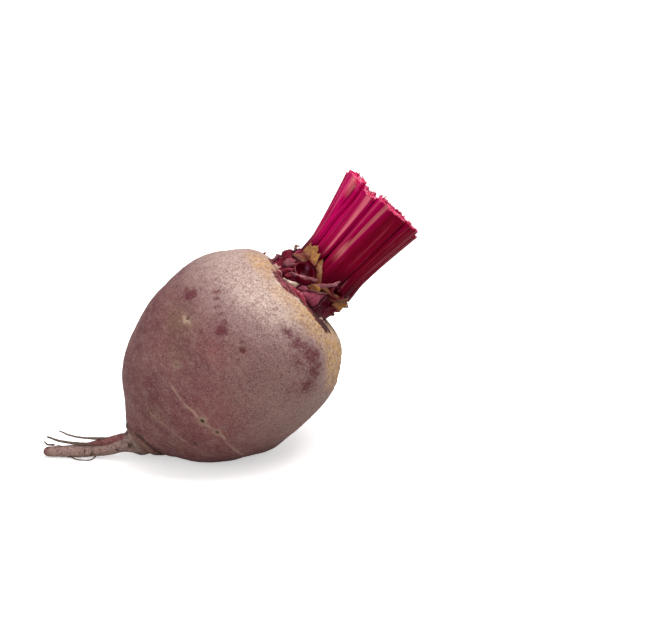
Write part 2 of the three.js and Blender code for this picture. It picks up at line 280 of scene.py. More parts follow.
def turn_gap(turn: Array, other: float) -> Array:
    """How far one turn is from another in degrees, the short way round."""
    return (np.asarray(turn) - other + 180) % 360 - 180


def raise_mask(masks: dict, mark: Mark, cover: Array) -> None:
    """Raises a mark's mask to a cover where it is lower."""
    masks[mark.value] = np.maximum(masks[mark.value], cover)


# Meshes.


def quads_between(rows: int, count: int, closed: bool) -> Array:
    """The faces between rows of points.

    Args:
        rows: How many rows.
        count: How many points a row has.
        closed: Whether a row's last point joins its first.

    Returns:
        Four point numbers for each face.
    """
    low = np.arange(rows - 1)[:, None] * count
    here = np.arange(count if closed else count - 1)[None, :]
    after = (here + 1) % count
    corners = [low + here, low + after, low + count + after, low + count + here]
    return np.stack(corners, axis=-1).reshape(-1, 4)


@dataclass
class Form:
    """A mesh in the making: closed shells with values at their points, in millimetres."""

    points: list[Array] = field(default_factory=list)
    faces: list[list[int]] = field(default_factory=list)
    values: dict[str, list[Array]] = field(default_factory=dict)
    count: int = 0

    def add(self, points: Array, faces: list, **values: Array) -> None:
        """Adds a closed shell, and turns its faces outward.

        Args:
            points: Its points in the part's frame.
            faces: Its faces, as lists of point numbers.
            **values: One value, or one vector, for each point.
        """
        volume = 0
        for size in (3, 4):
            chosen = np.array([f for f in faces if len(f) == size], int)
            for k in range(1, size - 1):
                if len(chosen):
                    a, b, c = (points[chosen[:, corner]] for corner in (0, k, k + 1))
                    volume += np.sum(a * np.cross(b, c))
        for face in faces:
            self.faces.append([int(c) + self.count for c in face][:: 1 if volume >= 0 else -1])
        self.points.append(points)
        self.count += len(points)
        for name, value in values.items():
            self.values.setdefault(name, []).append(np.asarray(value, float))

    def tube(self, rings: Array, domed: float = 0, **values: Array) -> None:
        """Adds a closed tube through rings of points, capped at both ends.

        Args:
            rings: Points in the part's frame, one row of points for each ring.
            domed: How far the caps' middles stand out.
            **values: One value for each point of the rings.
        """
        rows, count, _ = rings.shape
        foot, head = rings[0].mean(axis=0), rings[-1].mean(axis=0)
        foot = foot + unit(foot - rings[1].mean(axis=0)) * domed
        head = head + unit(head - rings[-2].mean(axis=0)) * domed
        points = np.concatenate([rings.reshape(-1, 3), [foot, head]])
        faces = quads_between(rows, count, True).tolist()
        last = (rows - 1) * count
        for i in range(count):
            after = (i + 1) % count
            faces.append([rows * count, after, i])
            faces.append([rows * count + 1, last + i, last + after])
        capped = {}
        for name, value in values.items():
            value = np.asarray(value, float)
            ends = np.stack([value[0].mean(axis=0), value[-1].mean(axis=0)])
            capped[name] = np.concatenate([value.reshape((-1,) + value.shape[2:]), ends])
        self.add(points, faces, **capped)

    def blade(self, front: Array, back: Array, **values: Array) -> None:
        """Adds a thin closed sheet between two grids of points.

        Args:
            front: The front's points in the part's frame, row by row.
            back: The back's points.
            **values: One value for each point of a grid.
        """
        rows, count, _ = front.shape
        behind = rows * count
        quads = quads_between(rows, count, False)
        faces = quads.tolist() + (quads[:, ::-1] + behind).tolist()
        edge = list(range(count)) + [k * count + count - 1 for k in range(1, rows)]
        edge += [(rows - 1) * count + i for i in range(count - 2, -1, -1)]
        edge += [k * count for k in range(rows - 2, 0, -1)]
        for a, b in zip(edge, edge[1:] + edge[:1]):
            faces.append([b, a, a + behind, b + behind])
        doubled = {}
        for name, value in values.items():
            flat = np.asarray(value, float).reshape((behind,) + np.asarray(value).shape[2:])
            doubled[name] = np.concatenate([flat, flat])
        self.add(np.concatenate([front.reshape(-1, 3), back.reshape(-1, 3)]), faces, **doubled)

    def build(self, name: str, finish: Material, slot: Slot, *nodes: str) -> None:
        """Makes the piece and hangs it on the body.

        Args:
            name: The piece's name.
            finish: Its material.
            slot: The record's slot; not used.
            *nodes: The solids that it stands for.
        """
        points = np.concatenate(self.points) * MM
        mesh = bpy.data.meshes.new(name)
        mesh.from_pydata(points.tolist(), [], self.faces)
        for value_name, parts in self.values.items():
            value = np.concatenate(parts)
            kind, label = ("FLOAT", "value") if value.ndim == 1 else ("FLOAT_VECTOR", "vector")
            layer = mesh.attributes.new(value_name, kind, "POINT")
            layer.data.foreach_set(label, value.astype(np.float32).ravel())
        mesh.polygons.foreach_set("use_smooth", [True] * len(mesh.polygons))
        mesh.update()
        piece = bpy.data.objects.new(name, mesh)
        bpy.context.scene.collection.objects.link(piece)
        mesh.materials.append(finish)
        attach(piece, BODY)
        if nodes:
            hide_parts(*nodes)
        LOG.info("%s: %d points, %d faces", name, len(mesh.vertices), len(mesh.polygons))


def tube_rings(line: Array, radii: Array, segments: int, start: Array | None = None) -> Array:
    """Round rings along a line.

    Args:
        line: The tube's middle, point by point.
        radii: Its radius at each point.
        segments: How many points a ring has.
        start: The direction that a ring's first point looks in, if it matters.

    Returns:
        The rings' points.
    """
    ahead = unit(np.gradient(line, axis=0))
    side = np.array([0.31, 0.87, 0.38]) if start is None else start
    turn = 2 * np.pi * np.arange(segments) / segments
    rings = []
    for point, heading, radius in zip(line, ahead, radii):
        side = unit(side - heading * np.dot(side, heading))
        other = np.cross(heading, side)
        rings.append(point + radius * (np.cos(turn)[:, None] * side + np.sin(turn)[:, None] * other))
    return np.array(rings)


# Finishes.


def rgb(red: int, green: int, blue: int) -> tuple:
    """A screen colour in the values that a shader takes.

    Args:
        red: The red, from 0 to 255.
        green: The green.
        blue: The blue.

    Returns:
        The colour, with a full alpha.
    """
    shares = [c / 255 for c in (red, green, blue)]
    values = [s / 12.92 if s <= 0.04045 else ((s + 0.055) / 1.055) ** 2.4 for s in shares]
    return (*values, 1)


class Tree:
    """A node tree that is being filled, with short calls for its nodes."""

    def __init__(self, tree: Nodes) -> None:
        """Starts on a tree that may hold nodes already."""
        self.tree = tree

    def node(self, kind: str, inputs: dict | None = None, **settings: object) -> bpy.types.Node:
        """Adds a node.

        Args:
            kind: The node's type name.
            inputs: What feeds each input, by its name or number.
            **settings: The node's own settings.

        Returns:
            The node.
        """
        made = self.tree.nodes.new(kind)
        for name, value in settings.items():
            setattr(made, name, value)
        for name, value in (inputs or {}).items():
            self.feed(made.inputs[name], value)
        return made

    def feed(self, socket: Socket, value: object) -> None:
        """Fills an input.

        Args:
            socket: The input.
            value: A value to set, an output to link, or the name of a mask that the mesh keeps.
        """
        if isinstance(value, str):
            value = self.value_at(value)
        if isinstance(value, Socket):
            self.tree.links.new(value, socket)
        else:
            socket.default_value = value

    def value_at(self, name: str) -> Socket:
        """A value that the mesh keeps at its points."""
        return self.node("ShaderNodeAttribute", attribute_name=name).outputs["Fac"]

    def vector_at(self, name: str) -> Socket:
        """A vector that the mesh keeps at its points."""
        return self.node("ShaderNodeAttribute", attribute_name=name).outputs["Vector"]

    def math(self, operation: str, first: object, second: object) -> Socket:
        """One step of arithmetic."""
        return self.node("ShaderNodeMath", {0: first, 1: second}, operation=operation).outputs[0]

    def times(self, first: object, second: object) -> Socket:
        """The product of two values."""
        return self.math("MULTIPLY", first, second)

    def plus(self, first: object, second: object) -> Socket:
        """The sum of two values."""
        return self.math("ADD", first, second)

    def part_of(self, name: str, share: object) -> Socket:
        """A mask that the mesh keeps, weakened by a share."""
        return self.times(self.value_at(name), share)

    def stretch(self, vector: object, scale: object) -> Socket:
        """A vector multiplied axis by axis."""
        return self.node("ShaderNodeVectorMath", {0: vector, 1: scale}, operation="MULTIPLY").outputs[0]

    def noise(self, vector: object, scale: object, detail: float = 3, uneven: float = 0.55) -> Socket:
        """Soft noise, mostly from 0.3 to 0.7."""
        inputs = {"Vector": vector, "Scale": scale, "Detail": detail, "Roughness": uneven}
        return self.node("ShaderNodeTexNoise", inputs).outputs[0]

    def cells(self, vector: object, scale: object) -> Socket:
        """The distance to the nearest of scattered points."""
        return self.node("ShaderNodeTexVoronoi", {"Vector": vector, "Scale": scale}).outputs["Distance"]

    def between(
        self, value: object, low: object, high: object, bottom: float = 0, top: float = 1
    ) -> Socket:
        """A value brought smoothly from low..high to bottom..top, and held there."""
        inputs = {"Value": value, "From Min": low, "From Max": high, "To Min": bottom, "To Max": top}
        return self.node("ShaderNodeMapRange", inputs, interpolation_type="SMOOTHSTEP").outputs[0]

    def by_mask(self, name: str, none: float, full: float) -> Socket:
        """A value that follows a mask of the mesh, from the mask's 0 to its 1."""
        return self.between(self.value_at(name), 0, 1, none, full)

    def mix(self, share: object, first: object, second: object) -> Socket:
        """One colour laid over another.

        Args:
            share: How much of the second shows.
            first: The colour below.
            second: The colour above.

        Returns:
            The mixed colour.
        """
        made = self.node("ShaderNodeMix", data_type="RGBA")
        for socket, value in ((made.inputs[0], share), (made.inputs[6], first), (made.inputs[7], second)):
            self.feed(socket, value)
        return made.outputs[2]

    def group(self, tree: Nodes, place: object, *values: float) -> bpy.types.NodeOutputs:
        """Places a shared group of nodes.

        Args:
            tree: The group.
            place: Where each point of the surface lies.
            *values: The group's other inputs, in order.

        Returns:
            The group's outputs.
        """
        made = self.node("ShaderNodeGroup", node_tree=tree)
        for socket, value in zip(made.inputs, (place, *values)):
            self.feed(socket, value)
        return made.outputs


class SharedEffects:
    """The groups of nodes that more than one finish uses."""

    def __init__(self) -> None:
        """Builds each group once."""
        self.speckle = self.build_speckle()
        self.fibre = self.build_fibre()
        self.mottle = self.build_mottle()

    @staticmethod
    def start(name: str, inputs: tuple[str, ...], outputs: tuple[str, ...]) -> tuple[Tree, dict, dict]:
        """Starts a shared group of nodes.

        Args:
            name: The group's name.
            inputs: Its named inputs: the first takes a vector, the others a value.
            outputs: Its named outputs, which give values.

        Returns:
            The group's tree, the named inputs seen from inside, and the named outputs.
        """
        tree = bpy.data.node_groups.new(name, "ShaderNodeTree")
        for label in inputs:
            kind = "NodeSocketVector" if label == inputs[0] else "NodeSocketFloat"
            tree.interface.new_socket(name=label, in_out="INPUT", socket_type=kind)
        for label in outputs:
            tree.interface.new_socket(name=label, in_out="OUTPUT", socket_type="NodeSocketFloat")
        first, last = tree.nodes.new("NodeGroupInput"), tree.nodes.new("NodeGroupOutput")
        return Tree(tree), {k: first.outputs[k] for k in inputs}, {k: last.inputs[k] for k in outputs}

    def build_speckle(self) -> Nodes:
        """Scattered fine dots.

        Returns:
            The group, whose Mask is 1 on a dot.
        """
        t, given, made = self.start("speckle", ("Place", "Scale", "Amount"), ("Mask",))
        soft = t.noise(given["Place"], given["Scale"], 2, 0.5)
        reach = t.times(given["Amount"], soft)
        gap = t.math("SUBTRACT", reach, t.cells(given["Place"], given["Scale"]))
        t.feed(made["Mask"], t.between(gap, -0.1, 0.12))
        return t.tree

    def build_fibre(self) -> Nodes:
        """Fine lines along the second axis of Place.

        Returns:
            The group, whose Mask and Height run from 0 to 1.
        """
        t, given, made = self.start("fibre", ("Place", "Scale", "Draw"), ("Mask", "Height"))
        drawn = t.node("ShaderNodeCombineXYZ", {0: 1, 1: given["Draw"], 2: 1})
        line = t.stretch(given["Place"], drawn.outputs[0])
        broad = t.noise(line, given["Scale"], 3, 0.5)
        fine = t.noise(line, t.times(given["Scale"], 3.7), 2, 0.5)
        both = t.plus(t.times(broad, 0.6), t.times(fine, 0.4))
        t.feed(made["Mask"], t.between(both, 0.4, 0.62))
        t.feed(made["Height"], both)
        return t.tree

    def build_mottle(self) -> Nodes:
        """Cloudy patches of several sizes.

        Returns:
            The group, whose Mask runs from 0 to 1.
        """
        t, given, made = self.start("mottle", ("Place", "Scale", "Low", "High"), ("Mask",))
        cloud = t.noise(given["Place"], given["Scale"], 5, 0.62)
        t.feed(made["Mask"], t.between(cloud, given["Low"], given["High"]))
        return t.tree


class Coat(Tree):
    """The node tree of a new material, with its shader."""

    def __init__(self, name: str, **gloss: float) -> None:
        """Starts the material.

        Args:
            name: Its name.
            **gloss: Values for the shader's own sockets, with _ for a space in their names.
        """
        self.material = bpy.data.materials.new(name)
        self.material.use_nodes = True
        super().__init__(self.material.node_tree)
        self.shader = self.tree.nodes["Principled BSDF"]
        self.dress(**gloss)

    def dress(self, **looks: object) -> Material:
        """Fills the shader's sockets.

        Args:
            **looks: What feeds each socket, with _ for a space in its name.

        Returns:
            The material.
        """
        for label, value in looks.items():
            self.feed(self.shader.inputs[label.replace("_", " ")], value)
        return self.material

    def relief(self, height: object, strength: object, distance: float = 0.0004) -> Socket:
        """The normals of a fine relief."""
        inputs = {"Height": height, "Strength": strength, "Distance": distance}
        return self.node("ShaderNodeBump", inputs).outputs[0]


@dataclass(frozen=True)
class SkinFinish:
    """The root's dusty skin: mauve, tan and corky toward the rim, with blotches, scars and pits, and shade
    painted into its pits and creases.
    """

    shared: SharedEffects
    mauve: tuple = rgb(134, 88, 86)
    wine: tuple = rgb(112, 60, 66)
    red: tuple = rgb(146, 78, 78)
    olive: tuple = rgb(132, 100, 78)
    dust: tuple = rgb(176, 146, 136)
    lavender: tuple = rgb(184, 156, 152)
    cream: tuple = rgb(226, 202, 188)
    ochre: tuple = rgb(226, 182, 122)
    purple: tuple = rgb(94, 16, 38)
    wine_deep: tuple = rgb(82, 34, 44)
    cork: tuple = rgb(204, 174, 148)
    # The torn skin's dark crimson, partly painted shade under the crown's edge.
    torn_dark_and_shade: tuple = rgb(62, 2, 14)
    torn_pale: tuple = rgb(160, 74, 88)
    rust: tuple = rgb(98, 42, 34)
    brown: tuple = rgb(112, 74, 48)
    # Painted shade for pits and creases, also the colour of the taproot's dark patches.
    crease: tuple = rgb(52, 30, 26)

    @staticmethod
    def ragged(t: Tree, mark: Mark, place: Socket, amount: float) -> Socket:
        """A mark's mask with its edge broken up.

        Args:
            t: The skin's tree.
            mark: The mark.
            place: Where each point lies.
            amount: How far the noise breaks the edge up.

        Returns:
            The mask.
        """
        worn = t.times(t.math("SUBTRACT", t.noise(place, 0.9, 6, 0.8), 0.5), amount)
        cover = t.between(t.plus(t.value_at(mark.value), worn), 0.08, 0.74)
        return t.times(cover, t.between(t.noise(place, 1.4, 4, 0.7), 0.4, 0.62, 1, 0.6))

    def ground(self, t: Tree, at: Socket, rings: Socket) -> Socket:
        """The mauve skin below the shoulder, with its ruddy, olive and dusty places.

        Args:
            t: The skin's tree.
            at: Where each point lies.
            rings: The same, stretched into rings round the axis.

        Returns:
            The colour.
        """
        cloud = t.group(self.shared.mottle, at, 0.09, 0.36, 0.66)
        colour = t.mix(cloud["Mask"], self.mauve, self.wine)
        colour = t.mix(t.part_of(Mark.RUDDY.value, 0.75), colour, self.red)
        colour = t.mix(t.part_of(Mark.OLIVE.value, 0.75), colour, self.olive)
        film = t.group(self.shared.mottle, rings, 0.5, 0.42, 0.74)
        colour = t.mix(t.times(film["Mask"], 0.34), colour, self.dust)
        # Paler toward the lower side and over the taproot.
        return t.mix(t.part_of("mask_pale", 0.66), colour, self.dust)

    def shoulder(self, t: Tree, at: Socket) -> Socket:
        """The pale skin of the shoulder, golden and stained toward the rim.

        Args:
            t: The skin's tree.
            at: Where each point lies.

        Returns:
            The colour.
        """
        pale = t.mix("mask_cream", self.lavender, self.cream)
        pale = t.mix(t.times(t.between(t.noise(at, 0.35, 5, 0.7), 0.44, 0.62), 0.6), pale, self.dust)
        torn = t.between(t.noise(at, 0.4, 4, 0.6), 0.4, 0.6, 0.5, 1)
        pale = t.mix(t.part_of("mask_gold", torn), pale, self.ochre)
        stain = t.between(t.noise(t.stretch(at, (1, 1, 0.5)), 0.7, 6, 0.8), 0.52, 0.62, 0, 1)
        return t.mix(t.times(t.times(stain, "mask_gold"), 0.85), pale, self.brown)

    def material(self) -> Material:
        """Builds the material.

        Returns:
            The material.
        """
        t = Coat("dusty root skin", Roughness=0.58, Specular_IOR_Level=0.3)
        at = t.vector_at("root_place")
        rings = t.stretch(at, (0.5, 0.5, 1))
        shoulder = t.value_at("mask_shoulder")
        veil = t.times(shoulder, t.between(t.noise(at, 1.7, 4, 0.75), 0.32, 0.56, 0.62, 1))
        colour = t.mix(veil, self.ground(t, at, rings), self.shoulder(t, at))

        fine = t.noise(at, 1.5, 4, 0.72)
        calm = t.by_mask("mask_gold", 1, 0.45)
        colour = t.mix(t.times(t.between(fine, 0.48, 0.66, 0, 0.7), calm), colour, self.wine_deep)
        colour = t.mix(t.between(fine, 0.3, 0.46, 0.5, 0), colour, self.dust)
        grit = t.group(self.shared.speckle, at, 1, 0.6)
        colour = t.mix(t.times(grit["Mask"], 0.24), colour, self.wine)
        pores = t.between(t.noise(at, 0.8, 7, 0.85), 0.5, 0.6)
        colour = t.mix(t.times(pores, t.between(shoulder, 0, 1, 0.16, 0.5)), colour, self.wine)

        colour = t.mix(t.times(self.ragged(t, Mark.BLOTCH, at, 1.7), 0.96), colour, self.purple)
        colour = t.mix(t.part_of(Mark.CORK.value, 0.8), colour, self.cork)
        colour = t.mix(self.ragged(t, Mark.RUST, at, 0.8), colour, self.rust)
        # The band of torn skin round the crown's foot: its dark crimson is partly painted shade under the
        # crown's edge, partly the torn skin's own.
        rim = t.mix(t.between(t.noise(at, 0.55, 4, 0.7), 0.42, 0.6), self.torn_dark_and_shade, self.torn_pale)
        colour = t.mix("mask_rim", colour, rim)
        colour = t.mix("mask_rim_edge", colour, self.cream)
        # Painted shade in pits and creases, and the taproot's dark patches.
        colour = t.mix(Mark.HOLE.value, colour, self.crease)

        worn = t.plus(t.between(t.noise(at, 0.8, 4), 0.3, 0.7, 0.46, 0.72), t.part_of("mask_rim", 0.26))
        height = t.plus(t.noise(at, 2.3, 4, 0.7), t.times(t.noise(rings, 1.3, 3), 0.7))
        height = t.math("SUBTRACT", height, t.times(grit["Mask"], 0.25))
        return t.dress(Base_Color=colour, Roughness=worn, Normal=t.relief(height, 0.7, 0.00032))


@dataclass(frozen=True)
class CrownFinish:
    """The crown: maroon and purple scars with fine veins, pale torn edges and wet cups, with shade painted
    into the scars, creases and cups and a painted highlight in each cup.
    """

    shared: SharedEffects
    maroon: tuple = rgb(134, 10, 50)
    purple: tuple = rgb(146, 48, 88)
    # Colour of the fine veins, and of the painted shade.
    deep: tuple = rgb(84, 0, 22)
    mauve: tuple = rgb(172, 104, 122)
    edge: tuple = rgb(206, 158, 142)
    bark: tuple = rgb(134, 92, 42)
    # Dark of wet flesh, and painted shade in the cups' hollows.
    wet: tuple = rgb(92, 0, 22)
    # Colour of the painted highlight in the cups.
    lilac: tuple = rgb(188, 116, 156)

    def material(self) -> Material:
        """Builds the material.

        Returns:
            The material.
        """
        t = Coat("crown flesh", Roughness=0.4, IOR=1.25, Specular_IOR_Level=0.25, Coat_Roughness=0.24)
        at = t.vector_at("root_place")
        grain = t.group(self.shared.fibre, t.vector_at("grain_place"), 1.5, 0.12)
        patch = t.group(self.shared.mottle, at, 0.42, 0.4, 0.62)
        worn = t.group(self.shared.mottle, at, 1.3, 0.5, 0.68)
        colour = t.mix("mask_tone", self.maroon, self.purple)
        colour = t.mix(t.times(patch["Mask"], 0.7), colour, self.maroon)
        colour = t.mix(t.times(worn["Mask"], 0.3), colour, self.mauve)
        colour = t.mix(t.times(grain["Mask"], 0.6), colour, self.deep)
        colour = t.mix("mask_bark", colour, self.bark)
        torn = t.part_of("mask_edge", t.between(t.noise(at, 1.6, 3), 0.4, 0.6, 0.05, 0.9))
        colour = t.mix(torn, colour, self.edge)
        # Painted shade in the scars, creases, cups and at the crown's foot and top.
        colour = t.mix("mask_painted_shade", colour, self.deep)
        # Darker where wet; in the cups' hollows this is painted shade.
        colour = t.mix(t.part_of("mask_wet_and_hollow_shade", 0.92), colour, self.wet)
        # Painted highlight on each cup's inner wall.
        colour = t.mix("mask_painted_highlight", colour, self.lilac)
        height = t.plus(grain["Height"], t.noise(at, 1.8, 4, 0.65))
        normal = t.relief(height, t.by_mask("mask_wet_and_hollow_shade", 0.7, 0.12))
        rough, coat = t.by_mask("mask_wet_and_hollow_shade", 0.46, 0.3), t.by_mask("mask_wet_and_hollow_shade", 0.03, 0.06)
        return t.dress(Base_Color=colour, Roughness=rough, Coat_Weight=coat, Normal=normal)


@dataclass(frozen=True)
class StalkFinish:
    """A leaf stalk: moist magenta to crimson with long ribs, and pink and tan stripes; shade is painted in
    as crimson, and as dark in its grooves.
    """

    shared: SharedEffects
    magenta: tuple = rgb(206, 0, 98)
    # Crimson of the stalk, also the colour of its painted shade.
    crimson: tuple = rgb(132, 0, 38)
    # Dark fine lines, and painted shade in the grooves.
    dark: tuple = rgb(74, 0, 18)
    stripe: tuple = rgb(250, 116, 150)
    tan: tuple = rgb(255, 168, 148)
    pith: tuple = rgb(226, 96, 120)
    lilac: tuple = rgb(236, 190, 222)

    def material(self) -> Material:
        """Builds the material.

        Returns:
            The material.
        """
        gloss = {"IOR": 1.2, "Specular_IOR_Level": 0.12, "Coat_Roughness": 0.2, "Coat_Weight": 0.02}
        t = Coat("leaf stalk", Roughness=0.36, **gloss)
        at = t.vector_at("stalk_place")
        ribs = t.group(self.shared.fibre, at, 0.75, 0.03)
        lines = t.group(self.shared.fibre, at, 2.4, 0.02)
        # Painted shade, with some random tone, turns the magenta to crimson.
        colour = t.mix("mask_shade", self.magenta, self.crimson)
        colour = t.mix(t.times(ribs["Mask"], 0.32), colour, self.crimson)
        colour = t.mix(t.times(lines["Mask"], 0.18), colour, self.dark)
        colour = t.mix(t.between(lines["Height"], 0.3, 0.42, 0.2, 0), colour, self.stripe)
        tone = t.mix("mask_tan", self.stripe, self.tan)
        broken = t.between(lines["Height"], 0.36, 0.6, 1, 0.5)
        colour = t.mix(t.part_of("mask_stripe", broken), colour, tone)
        # Painted shade in the grooves, rib valleys, inward sides and feet.
        colour = t.mix("mask_groove", colour, self.dark)
        veins = t.between(t.cells(t.vector_at("root_place"), 0.8), 0.14, 0.4, 1, 0)
        face = t.mix(t.between(t.noise(at, 0.9), 0.38, 0.6), self.magenta, self.pith)
        face = t.mix(t.times(veins, 0.75), face, self.lilac)
        colour = t.mix("mask_cut", colour, face)
        rough = t.between(lines["Height"], 0.35, 0.65, 0.3, 0.46)
        height = t.plus(ribs["Height"], t.times(lines["Height"], 0.5))
        return t.dress(Base_Color=colour, Roughness=rough, Normal=t.relief(height, 0.55))


@dataclass(frozen=True)
class HuskFinish:
    """A dry leaf base: papery ochre and gold with brown veins and a stained foot."""

    shared: SharedEffects
    gold: tuple = rgb(208, 146, 66)
    olive: tuple = rgb(158, 108, 68)
    brown: tuple = rgb(104, 58, 32)
    stain: tuple = rgb(124, 34, 50)

    def material(self) -> Material:
        """Builds the material.

        Returns:
            The material.
        """
        t = Coat("dry husk", Roughness=0.7, Specular_IOR_Level=0.3)
        at = t.vector_at("grain_place")
        vein = t.group(self.shared.fibre, at, 1.3, 0.16)
        patch = t.group(self.shared.mottle, at, 0.5, 0.36, 0.64)
        colour = t.mix(patch["Mask"], self.gold, self.olive)
        colour = t.mix("mask_dull", colour, self.olive)
        colour = t.mix(t.times(vein["Mask"], 0.5), colour, self.brown)
        colour = t.mix("mask_foot", colour, self.stain)
        rough = t.between(vein["Height"], 0.3, 0.7, 0.6, 0.85)
        return t.dress(Base_Color=colour, Roughness=rough, Normal=t.relief(vein["Height"], 0.7, 0.0003))


@dataclass(frozen=True)
class TornFinish:
    """Torn skin and folds round the crown, in several tones with fine veins and paler torn edges."""

    shared: SharedEffects
    maroon: tuple = rgb(114, 22, 46)
    deep: tuple = rgb(66, 6, 20)
    shadow: tuple = rgb(52, 2, 14)

    def material(self) -> Material:
        """Builds the material.

        Returns:
            The material.
        """
        t = Coat("torn membrane", Roughness=0.4, IOR=1.35, Specular_IOR_Level=0.4)
        at = t.vector_at("grain_place")
        vein = t.group(self.shared.fibre, at, 1.4, 0.2)
        patch = t.group(self.shared.mottle, at, 0.9, 0.38, 0.62)
        colour = t.mix(t.times(patch["Mask"], 0.4), self.maroon, self.deep)
        for tone in Tone:
            share = t.value_at(tone.mask())
            if tone is not Tone.WHITE:
                share = t.times(share, t.between(patch["Mask"], 0, 1, 1, 0.72))
            colour = t.mix(share, colour, rgb(*tone.value))
        veined = t.by_mask(Tone.WHITE.mask(), 0.3, 0.06)
        colour = t.mix(t.times(vein["Mask"], veined), colour, self.maroon)
        colour = t.mix("mask_shadow", colour, self.shadow)
        rough = t.between(vein["Height"], 0.3, 0.7, 0.28, 0.5)
        return t.dress(Base_Color=colour, Roughness=rough, Normal=t.relief(vein["Height"], 0.8))


@dataclass(frozen=True)
class HairFinish:
    """Root hairs: dry brown with a reddish core."""

    shared: SharedEffects
    brown: tuple = rgb(112, 98, 86)
    red: tuple = rgb(104, 76, 68)

    def material(self) -> Material:
        """Builds the material.

        Returns:
            The material.
        """
        t = Coat("root hair", Roughness=0.65, Specular_IOR_Level=0.3)
        at = t.vector_at("root_place")
        patch = t.group(self.shared.mottle, at, 0.5, 0.4, 0.6)
        rough = t.between(t.noise(at, 1), 0.3, 0.7, 0.55, 0.8)
        return t.dress(Base_Color=t.mix(patch["Mask"], self.brown, self.red), Roughness=rough)


# The swollen root.


@dataclass(frozen=True)
class Spot:
    """A mark on the skin: where it is, how far it reaches, and how it stands out of the skin."""

    mark: Mark
    turn: float
    along: float
    across: float
    tall: float
    strength: float = 1.0
    height: float = 0.0
    tilt: float = 0.0

    def share(self, turn: Array, along: Array, radius: Array) -> Array:
        """How much of the mark covers some places.

        Args:
            turn: Their turns in degrees.
            along: Their places along the axis.
            radius: Their distances from the axis.

        Returns:
            A share from 0 to 1 for each.
        """
        over = np.radians(turn_gap(turn, self.turn)) * radius
        up = along - self.along
        lean = math.radians(self.tilt)
        first = over * math.cos(lean) + up * math.sin(lean)
        second = up * math.cos(lean) - over * math.sin(lean)
        return np.exp(-((first / self.across) ** 2 + (second / self.tall) ** 2))


@dataclass(frozen=True)
class Line:
    """A thin corky line that runs over the skin through some places."""

    places: tuple
    half_width: float
    strength: float
    height: float

    def share(self, turn: Array, along: Array, radius: Array) -> Array:
        """How much of the line covers some places.

        Args:
            turn: Their turns in degrees.
            along: Their places along the axis.
            radius: Their distances from the axis.

        Returns:
            A share from 0 to 1 for each.
        """
        line = curve_through(self.places, 12 * len(self.places))
        near = np.full(np.shape(turn), np.inf)
        for (turn_a, along_a), (turn_b, along_b) in zip(line, line[1:]):
            over = np.radians(turn_gap(turn, turn_a)) * radius
            up = along - along_a
            run = np.radians(turn_b - turn_a) * radius
            climb = along_b - along_a
            t = np.clip((over * run + up * climb) / (run * run + climb * climb), 0, 1)
            near = np.minimum(near, np.hypot(over - t * run, up - t * climb))
        return hump(near, self.half_width)


